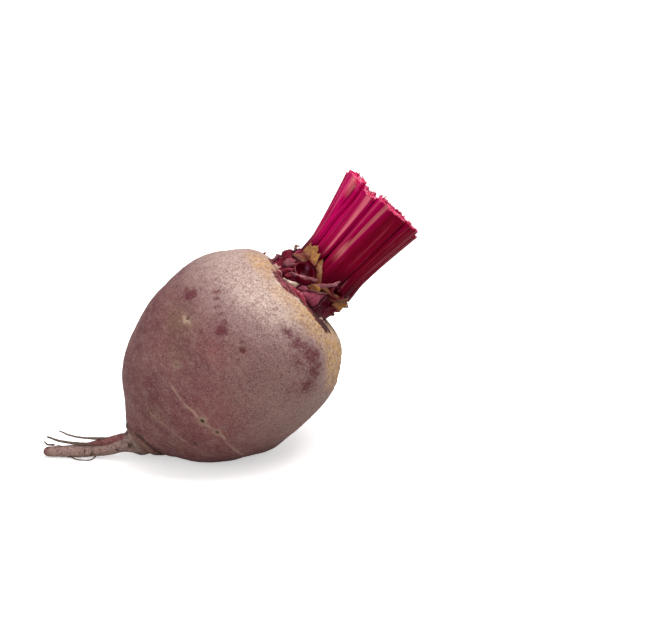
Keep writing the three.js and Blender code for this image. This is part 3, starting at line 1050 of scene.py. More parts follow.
@dataclass
class SwollenRoot:
    """The swollen root with its taproot and side root."""

    finish: Material
    outline: tuple = (
        (4, -8), (7.2, -5.2), (13.9, 0.4), (24.7, 9), (32.2, 20.6), (36.9, 36),
        (38.4, 50.8), (36.4, 64.2), (31.1, 73.4), (26.3, 78.5), (21.6, 80.8), (15.6, 81.2),
    )
    rim: float = 80.8
    seat: tuple = ((15, 80.6), (14.6, 79.8), (14.2, 79.2))
    shoulder: float = 76.0
    heel: tuple = (30, 9, 3.9, 23)
    shoulder_fade: tuple[float, float] = (14, 22)
    body_rings: int = 236
    body_segments: int = 360
    neck: float = -5.4
    tail_route: tuple = (
        (-39.6, 0.5, 6), (-44.4, 2, 4), (-52, 4.5, 2.9), (-61.4, 7, 2.45), (-69.4, 9.35, 2.12),
    )
    tail_profile: tuple = (
        (0, 6.95), (1.2, 6.1), (2.6, 4.9), (4.4, 3.8), (6.8, 3.05), (10, 2.7), (15, 2.5), (24, 2.5),
        (30, 2.3), (36, 2), (42, 1.8),
    )
    tail_creases: tuple = (
        (0.8, 0.5), (3, 0.4), (5.2, 0.3), (8.4, 0.18), (11.6, 0.26), (15.2, 0.2), (18.2, 0.2),
        (22.4, 0.28),
        (25, 0.18), (28.6, 0.26), (31.2, 0.2), (34, 0.26),
    )
    collar_line: tuple[float, float] = (-2.7, 1.3)
    tail_rings: int = 150
    tail_segments: int = 72
    spots: tuple = (
        (Mark.BLOTCH, (
            (-45, 51.4, 2.8, 2.5, 1), (-45, 51.4, 5, 4.4, 0.34), (-13.4, 52.6, 4.2, 4.6, 0.34),
            (-50.5, 51, 2, 1.8, 0.6), (-44, 55.4, 1.6, 1.6, 0.5), (-13.4, 52, 2.3, 2.3, 1),
            (-16, 55, 1.6, 1.4, 0.55), (-35, 60, 2.4, 0.9, 0.6, 0, 60), (-26.5, 56.8, 2.4, 0.9, 0.6, 0, 60),
            (-20, 46, 2.2, 1.4, 0.4, 0, 30), (14, 69.4, 3, 1.8, 0.7), (-31, 58.6, 1.5, 0.8, 0.6, 0, 60),
            (-21, 56.2, 1.5, 0.8, 0.6, 0, 60), (25.5, 69.8, 5.6, 2.8, 0.74, 0, 8),
            (38, 70.2, 5.6, 3.2, 0.84, 0, 4), (46, 67.4, 5, 4, 0.74), (33, 65.2, 6.4, 3.4, 0.5, 0, 4),
            (50, 61, 5.4, 5.4, 0.56), (44, 56, 5, 3.4, 0.4), (8, 8, 6, 2, 0.42, 0, 8),
        )),
        (Mark.OLIVE, (
            (-36, 42, 8, 7, 0.9), (-52, 56, 7, 4, 0.6), (-22, 33, 5, 4, 0.7), (-5, 10, 9, 3, 0.6),
            (30, 8, 8, 3, 0.6),
        )),
        (Mark.RUST, (
            (2.9, 53.3, 1.6, 1.3, 1, -0.35), (-1, 55, 1, 0.9, 0.7, -0.2),
        )),
        (Mark.HOLE, (
            (3.4, 52.9, 0.5, 0.4, 0.9, -0.3), (-33.4, 44.9, 0.6, 0.55, 1.3, -0.7),
            (-17.5, 30.2, 0.7, 0.6, 0.8, -0.3), (21, 22.9, 1, 0.75, 1.4, -0.7),
            (34.2, 24, 0.85, 0.7, 1.3, -0.6), (35.6, 13.9, 1.3, 0.5, 0.8, -0.5),
        )),
        (Mark.CORK, (
            (-33.4, 44.4, 2.7, 0.9, 1, 0.25), (-33, 43.2, 1.3, 0.7, 0.8, 0.15),
            (-17.5, 30.2, 1.5, 1.3, 0.5, 0.1), (21, 22.9, 1.8, 1.5, 1, 0.35), (34.2, 24, 1.6, 1.3, 1, 0.35),
        )),
        (Mark.RUDDY, (
            (42, 58.6, 5, 3.6, 0.8), (24, 30, 16, 13, 1), (-6, 44, 8, 5, 0.8),
        )),
    )
    lines: tuple = (
        Line(((-12.3, 23.6), (4.6, 22.7), (21, 22.9), (35.3, 23.9), (52.3, 23.4),
            (73.1, 22.7)), 0.4, 0.85, 0.26),
        Line(((-8.4, 9.4), (6.3, 10.5), (23.1, 11.3), (39.9, 12.5), (53.1, 13)), 0.34, 0.34, 0.12),
        Line(((150, 30), (170, 31), (-170 + 360, 29.6), (-150 + 360, 30.4)), 0.45, 0.8, 0.25),
    )
    tan_edge: tuple = (
        (-180, 67), (-120, 63), (-61, 57.6), (-26, 57), (1, 59.8), (21, 69.6),
        (49, 71.4),
        (62, 65), (110, 63), (145, 66), (180, 67),
    )
    rim_edge: tuple = (
        (-180, 80.9), (-70, 80.9), (-48, 80.6), (-32, 79.7), (-22, 79.3), (-10, 79.5),
        (-4, 80.4),
        (2, 80.7), (16, 80.6), (26, 80.2), (36, 79.9), (44, 79.6), (50, 80.2), (60, 80.9),
        (180, 80.9),
    )
    side_root: tuple = ((-33, -0.6, 9.4), (-39, 0.4, 8.5), (-45, 1.8, 7.3), (-52, 3.8, 6))
    side_radii: tuple = (2, 2, 1.5, 0.6)
    side_steps: int = 60
    back_marks: int = 16
    seed: int = 11

    def uneven(self, points: Array) -> Array:
        """The bulb's broad lobes, low swells and heel, as the solid has them.

        Args:
            points: Points about the axis in the root's frame.

        Returns:
            The points, moved.
        """
        x, y, z = points[..., 0], points[..., 1], points[..., 2]
        turn = np.arctan2(y, x)
        radius = np.hypot(x, y)
        belly = np.sin(np.pi * np.clip(z, 0, self.rim) / self.rim)
        along, length, height, half_angle = self.heel
        span = np.hypot((z - along) / length, turn / math.radians(half_angle))
        lobes = 0.012 * np.cos(2 * turn + 0.8) + 0.009 * np.cos(3 * turn - 1.1 + 0.03 * z)
        swell = 0.008 * np.sin(0.17 * z + 1.3) * np.sin(4 * turn + 0.09 * z)
        grow = 1 + belly * (lobes + swell) + height * np.exp(-(span**2)) / np.maximum(radius, 1)
        outer = ramp(radius, *self.shoulder_fade)[..., None]
        top = LIE.middle(self.rim) * (1 - outer) + LIE.middle(self.shoulder) * outer
        shift = np.where((z > self.shoulder)[..., None], top, LIE.middle(z))
        return spread(x * grow + shift[..., 0], y * grow + shift[..., 1], z)

    def every_spot(self) -> list[Spot]:
        """Lists the marks on the skin.

        Returns:
            The spots of the side that shows best, and scattered ones like them on the other sides.
        """
        draw = np.random.default_rng(self.seed)
        spots = [Spot(mark, *numbers) for mark, rows in self.spots for numbers in rows]
        for _ in range(self.back_marks):
            turn = draw.uniform(85, 275)
            along = draw.uniform(8, 66)
            kind = draw.choice([Mark.BLOTCH, Mark.BLOTCH, Mark.CORK, Mark.RUST, Mark.RUDDY])
            size = draw.uniform(0.9, 2.4) * (3 if kind is Mark.RUDDY else 1)
            height = {Mark.CORK: 0.25, Mark.RUST: -0.3}.get(kind, 0)
            spots.append(Spot(kind, turn, along, size * 1.3, size, draw.uniform(0.5, 0.9), height))
            if kind is Mark.CORK:
                spots.append(Spot(Mark.HOLE, turn, along, 0.6, 0.5, 0.7, -0.5))
        return spots

    def dressed(self, points: Array, turn: Array, along: Array) -> tuple[Array, dict]:
        """Adds the skin's fine relief, and works out its masks.

        Args:
            points: The smooth surface in the root's frame.
            turn: Each point's turn in degrees.
            along: Each point's place along the axis.

        Returns:
            How far each point moves outward, and the masks.
        """
        radius = np.hypot(points[..., 0], points[..., 1])
        masks = {mark.value: np.zeros(turn.shape) for mark in Mark}
        height = np.zeros(turn.shape)
        ragged = np.clip(1 + 0.55 * layered(points, 1.6, 40), 0.2, 1.6)
        warp = 1.1 * rough(points, 3, 51)
        for spot in self.every_spot():
            share = spot.share(turn, along + (0.5 if spot.mark is Mark.BLOTCH else 0.15) * warp, radius)
            height += spot.height * share
            cover = spot.strength * (share if spot.mark is Mark.HOLE else share * ragged)
            raise_mask(masks, spot.mark, np.clip(cover, 0, 1))
        wavy = along + 0.45 * rough(points, 4, 61)
        broken = np.clip(0.72 + 0.6 * rough(points, 2.2, 62), 0.1, 1)
        for line in self.lines:
            share = line.share(turn, wavy, radius) * broken
            height += line.height * share
            raise_mask(masks, Mark.CORK, line.strength * share)

        facing = turn_gap(turn, 0)
        edge = np.interp(facing, *np.array(self.tan_edge).T)
        past = along - (edge + 2.6 * layered(points, 9, 71) + 1.2 * rough(points, 2, 74))
        tan = 0.35 * ramp(past, -16, 0) + 0.65 * ramp(past, -7, 9)
        masks["mask_shoulder"] = np.clip(tan, 0, 1)
        masks["mask_cream"] = ramp(past + 2 * layered(points, 6, 75), 1, 13)
        masks["mask_cream"] *= 1 - 0.5 * ramp(-facing, 14, 50)
        lower = np.clip(np.cos(np.radians(turn_gap(turn, 80))) * 0.9 + 0.5, 0, 1)
        warm = along + 2.6 * layered(points, 4, 81) + 11 * ramp(facing, 42, 74)
        upper = hump(turn_gap(turn, -50), 24) * ramp(along, 74, 78.5)
        masks["mask_gold"] = np.maximum(ramp(warm, 72, 79) * lower, 0.9 * upper)
        beneath = np.clip(np.cos(np.radians(turn_gap(turn, 75))), 0, 1)
        masks["mask_pale"] = beneath * ramp(along, 14, 50)
        reach = np.linalg.norm(points[..., :2] - LIE.middle(self.rim), axis=-1)
        inner = 1 - ramp(reach + 0.8 * layered(points, 3, 79), 16.6, 17.6)
        inner = np.maximum(inner, ramp(facing, -44, -34) * (1 - ramp(facing, 52, 62)))
        rim = np.interp(facing, *np.array(self.rim_edge).T)
        rim = along - (rim + 0.45 * layered(points, 1.8, 76) + 0.15 * rough(points, 0.6, 77))
        masks["mask_rim"] = 0.95 * ramp(rim, -0.1, 0.15) * inner
        # Painted shade in the crevice under the crown's rim, from turn 20 on.
        raise_mask(masks, Mark.HOLE, 0.85 * masks["mask_rim"] * ramp(facing, 20, 30))
        masks["mask_rim_edge"] = 0.8 * hump(rim + 0.15, 0.3) * ramp(rough(points, 2.2, 78), -0.1, 0.5)

        fade = ramp(-along, -self.rim, -self.rim + 3)
        height += 0.32 * layered(points, 11, 21) * fade
        height += 0.1 * layered(points * np.array([0.3, 0.3, 1]), 2.6, 31) * fade
        height += 0.07 * rough(points, 0.9, 35)
        height += 0.5 * masks["mask_gold"] * layered(points, 2.2, 37) * fade
        height -= 0.18 * masks["mask_shoulder"] * np.clip(rough(points, 1.3, 36) - 0.25, 0, 1)
        return height, masks

    def body(self) -> tuple[Array, dict]:
        """Makes the bulb from the crown's seat down to the neck.

        Returns:
            Its rings in the root's frame, and its masks.
        """
        side = curve_through(self.outline, self.body_rings)[::-1]
        side = np.concatenate([np.array(self.seat)[::-1], side[side[:, 1] > self.neck]])
        slope = unit(np.gradient(side, axis=0))
        turn = np.linspace(-180, 180, self.body_segments, endpoint=False)
        out = LIE.towards(turn)
        flat = (len(side), len(turn), 1)
        rings, normal = (
            np.concatenate([reach[:, None, None] * out, np.broadcast_to(rise[:, None, None], flat)], axis=-1)
            for reach, rise in (side.T, (-slope[:, 1], slope[:, 0]))
        )
        smooth = self.uneven(rings)
        turns, along = np.broadcast_to(turn, rings.shape[:2]), rings[..., 2]
        height, masks = self.dressed(smooth, turns, along)
        middle, swing = self.collar_line
        above = along - middle - swing * np.sin(np.radians(turns)) - 0.9 * rough(rings, 6, 99)
        rising = ramp(along, self.neck, self.neck + 1.2)
        crease = hump(above, 0.6) * np.clip(0.8 + 0.8 * rough(rings, 4, 89), 0.2, 1) * rising
        height = height + 0.6 * hump(above + 2, 1.7) * rising - 0.6 * crease
        # Painted shade in the collar's crease.
        raise_mask(masks, Mark.HOLE, 0.95 * crease)
        raise_mask(masks, Mark.OLIVE, 1 - ramp(above, -1.2, 0.4))
        return smooth + normal * height[..., None], masks

    def tail(self) -> tuple[Array, Array]:
        """Makes the taproot from the neck on.

        Returns:
            Its rings in the root's frame, and how far along it each lies.
        """
        top = ((0, 0, 6), (0, 0, 0.6), (-0.35, 0.05, self.neck))
        line = curve_through([*top, *LIE.to_root(self.tail_route)], 4 * self.tail_rings)
        line = line[int(np.argmax(line[:, 2] < self.neck - 0.25)):]
        picked = np.linspace(0, len(line) - 1, self.tail_rings)
        line = np.stack([np.interp(picked, np.arange(len(line)), c) for c in line.T], axis=1)
        far = run_lengths(line)
        radii = np.interp(far, *curve_through(self.tail_profile, 400).T)
        left = np.clip((far[-1] - far) / 2.6, 0, 1)
        radii = radii * np.sqrt(1 - 0.985 * (1 - left) ** 2)
        rings = tube_rings(line, radii, self.tail_segments, np.array([*LIE.towards(-180), 0]))
        return np.roll(rings[:, ::-1], 1, axis=1), far

    def skin_faces(self, body_rows: int, tail_rows: int) -> list:
        """Joins the bulb's rings and the taproot's in one closed skin.

        Args:
            body_rows: How many rings the bulb has.
            tail_rows: How many the taproot has.

        Returns:
            The faces; the last two points are the middles of the two ends.
        """
        wide, narrow = self.body_segments, self.tail_segments
        ratio, first = wide // narrow, body_rows * wide
        last, head = first - wide, first + tail_rows * narrow
        tip = head - narrow
        faces = quads_between(body_rows, wide, True).tolist()
        faces += (quads_between(tail_rows, narrow, True) + first).tolist()
        for k in range(narrow):
            here, after = first + k, first + (k + 1) % narrow
            for j in range(ratio):
                a = last + k * ratio + j
                b = last + (k * ratio + j + 1) % wide
                faces.append([a, b, here] if j < ratio // 2 else [a, b, after])
                if j == ratio // 2:
                    faces.append([a, after, here])
        faces += [[(i + 1) % wide, i, head] for i in range(wide)]
        return faces + [[tip + i, tip + (i + 1) % narrow, head + 1] for i in range(narrow)]

    def build(self) -> None:
        """Joins the bulb and the taproot in one skin, adds the side root, and dresses them."""
        body, masks = self.body()
        tail, far = self.tail()
        outward = unit(tail - tail.mean(axis=1, keepdims=True))
        lumps = 0.2 * layered(tail, 4.5, 91) + 0.09 * rough(tail, 1.1, 92)
        creases = np.zeros(tail.shape[:2])
        bent = far[:, None] + 1.5 * rough(tail, 3.4, 94)
        for place, depth in self.tail_creases:
            creases += depth * hump(bent - place, 0.75 if place < 4 else 0.28)
        broken = np.clip(1.8 * rough(tail, 2.4, 93), 0, 1.4)
        broken = np.where(far[:, None] < 4, np.clip(0.7 + rough(tail, 3, 93), 0.2, 1.2), broken)
        fade = ramp(far, 0, 1.2)[:, None]
        tail = tail + outward * ((lumps - creases * broken) * fade)[..., None]

        whole = np.ones(tail.shape[:2])
        near_end = ramp(far, far[-1] - 4.5, far[-1] - 1)[:, None] * whole
        dark = 0.8 * ramp(layered(tail, 2, 98), 0.32, 0.6) * ramp(far, 3, 6)[:, None]
        tail_masks = {
            # Painted shade in the taproot's creases, and its own dark patches.
            Mark.HOLE.value: np.maximum(0.75 * np.clip(creases / 0.34, 0, 1) * broken, dark).clip(0, 0.85),
            Mark.CORK.value: 0.22 * ramp(layered(tail, 3, 95), -0.1, 0.6),
            Mark.RUDDY.value: np.maximum(0.5 * ramp(rough(tail, 5, 96), -0.2, 0.6), near_end),
            Mark.OLIVE.value: 0.8 * (1 - ramp(far, 2, 9))[:, None] * whole,
            Mark.BLOTCH.value: 0.5 * near_end,
            "mask_pale": 1.3 * whole,
        }
        values = {
            name: np.concatenate([mask.ravel(), tail_masks.get(name, 0 * whole).ravel(), [0, 0]])
            for name, mask in masks.items()
        }
        ends = [body[0].mean(axis=0), tail[-1].mean(axis=0)]
        points = np.concatenate([body.reshape(-1, 3), tail.reshape(-1, 3), ends])
        pressed = LIE.to_part(points)
        pressed[:, 2] = np.maximum(pressed[:, 2], 0)
        form = Form()
        form.add(pressed, self.skin_faces(len(body), len(tail)), root_place=points, **values)
        self.add_side_root(form)
        form.build("root_and_taproot", self.finish, Slot.SKIN, "swollen_root")

    def add_side_root(self, form: Form) -> None:
        """Adds the side root that leaves the neck and lies along the taproot.

        Args:
            form: The root's mesh.
        """
        line = curve_through(self.side_root, self.side_steps)
        radii = np.interp(np.linspace(0, 3, self.side_steps + 1), range(4), self.side_radii)
        rings = tube_rings(line, radii, 24)
        outward = unit(rings - rings.mean(axis=1, keepdims=True))
        rings = rings + outward * (0.18 * layered(rings, 2.4, 97))[..., None]
        blank = np.zeros(rings.shape[:2])
        values = {name: blank for name in form.values if name.startswith("mask_")}
        values[Mark.RUDDY.value] = blank + 0.9
        form.tube(rings, 0.3, root_place=LIE.to_root(rings), **values)


# The crown.


@dataclass(frozen=True)
class Cup:
    """The foot of a leaf stalk that was cut close: a short oval cup."""

    turn: float
    along: float
    half_width: float
    half_thick: float
    reach: float


@dataclass
class Crown:
    """The crown: a short stem ringed with leaf scars, with the cups of old leaf stalks."""

    finish: Material
    outline: tuple = (
        (14.5, 79.4), (14.9, 81.4), (14.6, 84.6), (14.2, 88.6), (13.8, 92.6), (12.6, 95.4), (7.4, 97),
    )
    top: float = 97.2
    foot: float = 79.35
    girth: float = 14.5
    rim: float = 80.8
    stalk_foot: float = 93.4
    scar_rings: tuple = ((65, 83.8), (-25, 89), (35, 93.4))
    scars_in_ring: int = 5
    scar_half_width: float = 7.0
    scar_half_height: float = 4.4
    scar_depth: float = 1.2
    scar_edge: float = 0.8
    cups: tuple = (
        Cup(-19, 88.4, 4.6, 3.5, 1.6),
        Cup(38, 92.2, 3.6, 2.3, 1.6),
        Cup(118, 88, 4.4, 2.9, 2),
        Cup(176, 86.4, 4.8, 3.1, 1.8),
        Cup(-108, 87.2, 4.6, 3, 1.8),
    )
    cup_root: float = 9.5
    cup_length: float = 5.0
    cup_profile: tuple = (
        (-2.6, 1.12), (-1.2, 1.06), (-0.2, 0.99), (0, 0.95), (-0.15, 0.9), (-0.9, 0.84), (-2.2, 0.76),
        (-3.4, 0.6), (-4, 0.36), (-4.15, 0.06),
    )
    cup_segments: int = 96
    cup_rise: float = 0.55
    hollow_depth: float = 3.4
    segments: int = 400
    rings: int = 130

    def scars(self) -> list[tuple[float, float]]:
        """Lists the leaf scars.

        Returns:
            The turn and the place along the axis of each.
        """
        places = []
        for ring, (turn, along) in enumerate(self.scar_rings):
            for i in range(self.scars_in_ring):
                sway, lift = 7 * math.sin(5.1 * i + ring), 0.6 * math.sin(3.7 * i + 2 * ring)
                places.append((turn + 360 * i / self.scars_in_ring + sway, along + lift))
        return places

    def relief(self, turn: Array, along: Array, radius: Array) -> tuple:
        """What the scars do to some places.

        Args:
            turn: Their turns in degrees.
            along: Their places along the axis.
            radius: Their distances from the axis.

        Returns:
            How far each moves, and how near it is to a scar's edge and to a scar's middle.
        """
        spans = []
        for scar_turn, place in self.scars():
            over = np.radians(turn_gap(turn, scar_turn)) * radius / self.scar_half_width
            spans.append(np.hypot(over, (along - place) / self.scar_half_height))
        spans = np.sort(np.stack(spans), axis=0)
        dish = -self.scar_depth * np.maximum(0, 1 - spans[0] ** 2)
        gap = spans[1] - spans[0]
        return dish + self.scar_edge * hump(gap, 0.24), hump(gap, 0.1), np.clip(1 - spans[0], 0, 1)

    def fade(self, along: Array) -> Array:
        """How much of the scars' relief shows at a place."""
        rising = ramp(along, self.rim, self.rim + 1.6)
        return rising * (1 - ramp(along, self.stalk_foot - 1.4, self.stalk_foot + 0.4))

    def radius(self, turn: Array, along: Array) -> Array:
        """The crown's radius with its scars.

        Args:
            turn: Turns in degrees.
            along: Places along the axis.

        Returns:
            One radius for each place.
        """
        side = curve_through(self.outline, 200)
        plain = np.interp(along, side[:, 1], side[:, 0])
        return plain + self.fade(along) * self.relief(turn, along, plain)[0]

    def add_stem(self, form: Form) -> None:
        """Adds the scarred stem.

        Args:
            form: The crown's mesh.
        """
        side = np.concatenate([[[13.6, self.foot]], curve_through(self.outline, self.rings)])
        turn = np.linspace(-180, 180, self.segments, endpoint=False)[None, :]
        turn, along, radius = np.broadcast_arrays(turn, side[:, 1:], side[:, :1])
        fade = self.fade(along)
        lift, edge, deep = self.relief(turn, along, radius)
        smooth = LIE.place(turn, along, radius)
        rugged = 0.4 * layered(smooth, 2.4, 101, 4) + 0.5 * np.maximum(0, rough(smooth, 1.7, 105)) * edge
        wide = spread(np.radians(turn) * self.girth, along, 0)
        lined = 0.16 * rough(wide * np.array([1, 0.1, 0]), 0.55, 106)
        creased = -0.55 * hump(layered(wide * np.array([1, 0.45, 0]), 2.6, 108), 0.13)
        hollow = np.zeros(turn.shape)
        for cup in self.cups:
            over = np.radians(turn_gap(turn, cup.turn)) * radius / cup.half_width
            span = np.hypot(over, (along - cup.along) / cup.half_thick)
            hollow = np.maximum(hollow, 1 - ramp(span, 0.7, 0.9))
        grown = radius + fade * (lift + rugged + lined + creased) - self.hollow_depth * hollow
        points = LIE.place(turn, along, grown)
        bark = ramp(rough(smooth, 3.4, 107) + 0.2 * edge, 0.34, 0.66) * fade * (np.abs(turn) > 64)
        # Painted shade: darker in the scars' middles, at the crown's foot, at its top under the stalks, in
        # creases, in a band at turn 56, in the cups' hollows and above the first cup.
        shade = 0.35 * ramp(deep, 0.25, 0.8) * fade + 0.75 * (1 - ramp(along, 80.2, 82))
        for darker in (
            0.85 * ramp(along, 91.6, 94.6),
            0.8 * hump((creased / 0.5) ** 2 - 1.2, 1) * (creased < -0.3),
            0.8 * hump(turn_gap(turn, 56), 16),
            hollow,
            hump(turn_gap(turn, -19), 18) * ramp(along, 90.4, 92.4),
        ):
            shade = np.maximum(shade, darker)
        values = {
            "grain_place": wide,
            "root_place": points,
            "mask_edge": edge * fade * ramp(rough(smooth, 2, 110), -0.2, 0.4),
            "mask_painted_shade": np.clip(shade, 0, 1),
            "mask_bark": bark * 0.8,
            "mask_tone": ramp(rough(wide * ACROSS_ONLY, 5, 109), -0.2, 0.5),
            "mask_wet_and_hollow_shade": 0.3 * ramp(rough(smooth, 4, 112), 0, 0.5),
            "mask_painted_highlight": np.zeros(turn.shape),
        }
        form.tube(LIE.to_part(points), 0.2, **values)

    def add_cup(self, form: Form, cup: Cup) -> None:
        """Adds one cup, with a thin uneven lip and a hollow.

        Args:
            form: The crown's mesh.
            cup: The cup.
        """
        out = np.array([*LIE.towards(cup.turn), 0])
        aside = np.array([-out[1], out[0], 0])
        aim = unit(out + np.array([0, 0, self.cup_rise]))
        up = np.cross(aim, aside)
        start = np.array([*LIE.middle(cup.along), cup.along - self.cup_rise * 4]) + out * self.cup_root
        lip = self.cup_length + cup.reach
        profile = curve_through([(0, 1.15), *((lip + step, size) for step, size in self.cup_profile)], 70)
        angle = 2 * np.pi * np.arange(self.cup_segments) / self.cup_segments
        flat = np.cos(angle)[:, None] * aside * cup.half_width + np.sin(angle)[:, None] * up * cup.half_thick
        rings = start + aim * profile[:, :1, None] + flat * profile[:, 1:, None]
        past = np.arange(len(profile))[:, None] - int(np.argmax(profile[:, 0]))
        ragged = 0.5 * layered(rings, 2, 111) + 0.2 * rough(rings, 0.8, 113)
        ragged = ragged - 0.5 * np.maximum(0, np.sin(angle))
        rings = rings + aim * (hump(past, 4) * ragged)[..., None]
        outer = unit(rings - rings.mean(axis=1, keepdims=True) + 1e-9)
        grown = 0.16 * layered(rings, 1.8, 115) * ramp(profile[:, 1:], 0.1, 0.5)
        rings = rings + outer * grown[..., None]
        blank = np.zeros(rings.shape[:2])
        inside = blank + ramp(past, 1, 6)
        lower = np.clip(0.5 - 0.6 * np.sin(angle), 0.08, 1)
        edge = hump(past, 2.6) * lower * (0.75 + 0.5 * rough(rings, 1.4, 116))
        values = {
            "grain_place": spread(angle * cup.half_width, profile[:, :1], 0),
            "root_place": rings,
            "mask_edge": np.clip(edge, 0, 1) * 0.9,
            # Painted shade over the whole cup, darkest in its hollow.
            "mask_painted_shade": np.maximum(inside, 0.5),
            "mask_bark": blank,
            "mask_tone": blank,
            # Wet gloss, and painted shade in the hollow.
            "mask_wet_and_hollow_shade": inside,
            # A painted highlight on the cup's inner wall.
            "mask_painted_highlight": 0.7 * hump(angle - 1.95, 0.22) * hump(past - 14, 7),
        }
        form.tube(LIE.to_part(rings), **values)

    def build(self) -> None:
        """Builds the crown."""
        form = Form()
        self.add_stem(form)
        for cup in self.cups:
            self.add_cup(form, cup)
        form.build("scarred_crown", self.finish, Slot.CROWN, "crown")


# The leaf stalks.


@dataclass(frozen=True)
class StalkRing:
    """A ring of leaf stalks that grow alike, each with its own share of the ring's breadth."""

    turn: float
    breadths: tuple[float, ...]
    swings: tuple[float, ...]
    foot: float
    spread: float
    width: float
    thickness: float
    swell: float

    def turns(self) -> Array:
        """The turn of each stalk."""
        breadths = np.array(self.breadths)
        return self.turn + 360 * (np.cumsum(breadths) - breadths / 2 - breadths[0] / 2) / breadths.sum()


@dataclass(frozen=True)
class Stripe:
    """A pale stripe along a stalk: its place round the section in degrees, from the foot to the cut."""

    foot: float
    head: float
    foot_half: float
    head_half: float
    start: float
    end: float
    strength: float
    tan: float

    def share(self, degrees: Array, share: Array) -> Array:
        """How much of the stripe covers some places.

        Args:
            degrees: Their places round the section.
            share: Their places from the foot to the cut, from 0 to 1.

        Returns:
            A share from 0 to 1 for each.
        """
        where = self.foot + (self.head - self.foot) * share
        half = self.foot_half + (self.head_half - self.foot_half) * share
        begun = ramp(share, self.start - 0.12, self.start + 0.08)
        lasting = begun * (1 - ramp(share, self.end - 0.15, self.end))
        gap = np.abs(turn_gap(degrees, where)) / half
        return self.strength * (1 - ramp(gap, 0.55, 1.25)) * lasting


@dataclass(frozen=True)
class StalkLook:
    """What sets one stalk apart: its stripes, its painted shade, a deep groove and how its foot reaches
    down.
    """

    stripes: tuple[Stripe, ...] = ()
    shade: float = 0.0
    shaded_side: float = 0.0
    groove: float = 0.0
    groove_at: float = 60.0
    drop: float = 1.6
    flare: float = 1.2


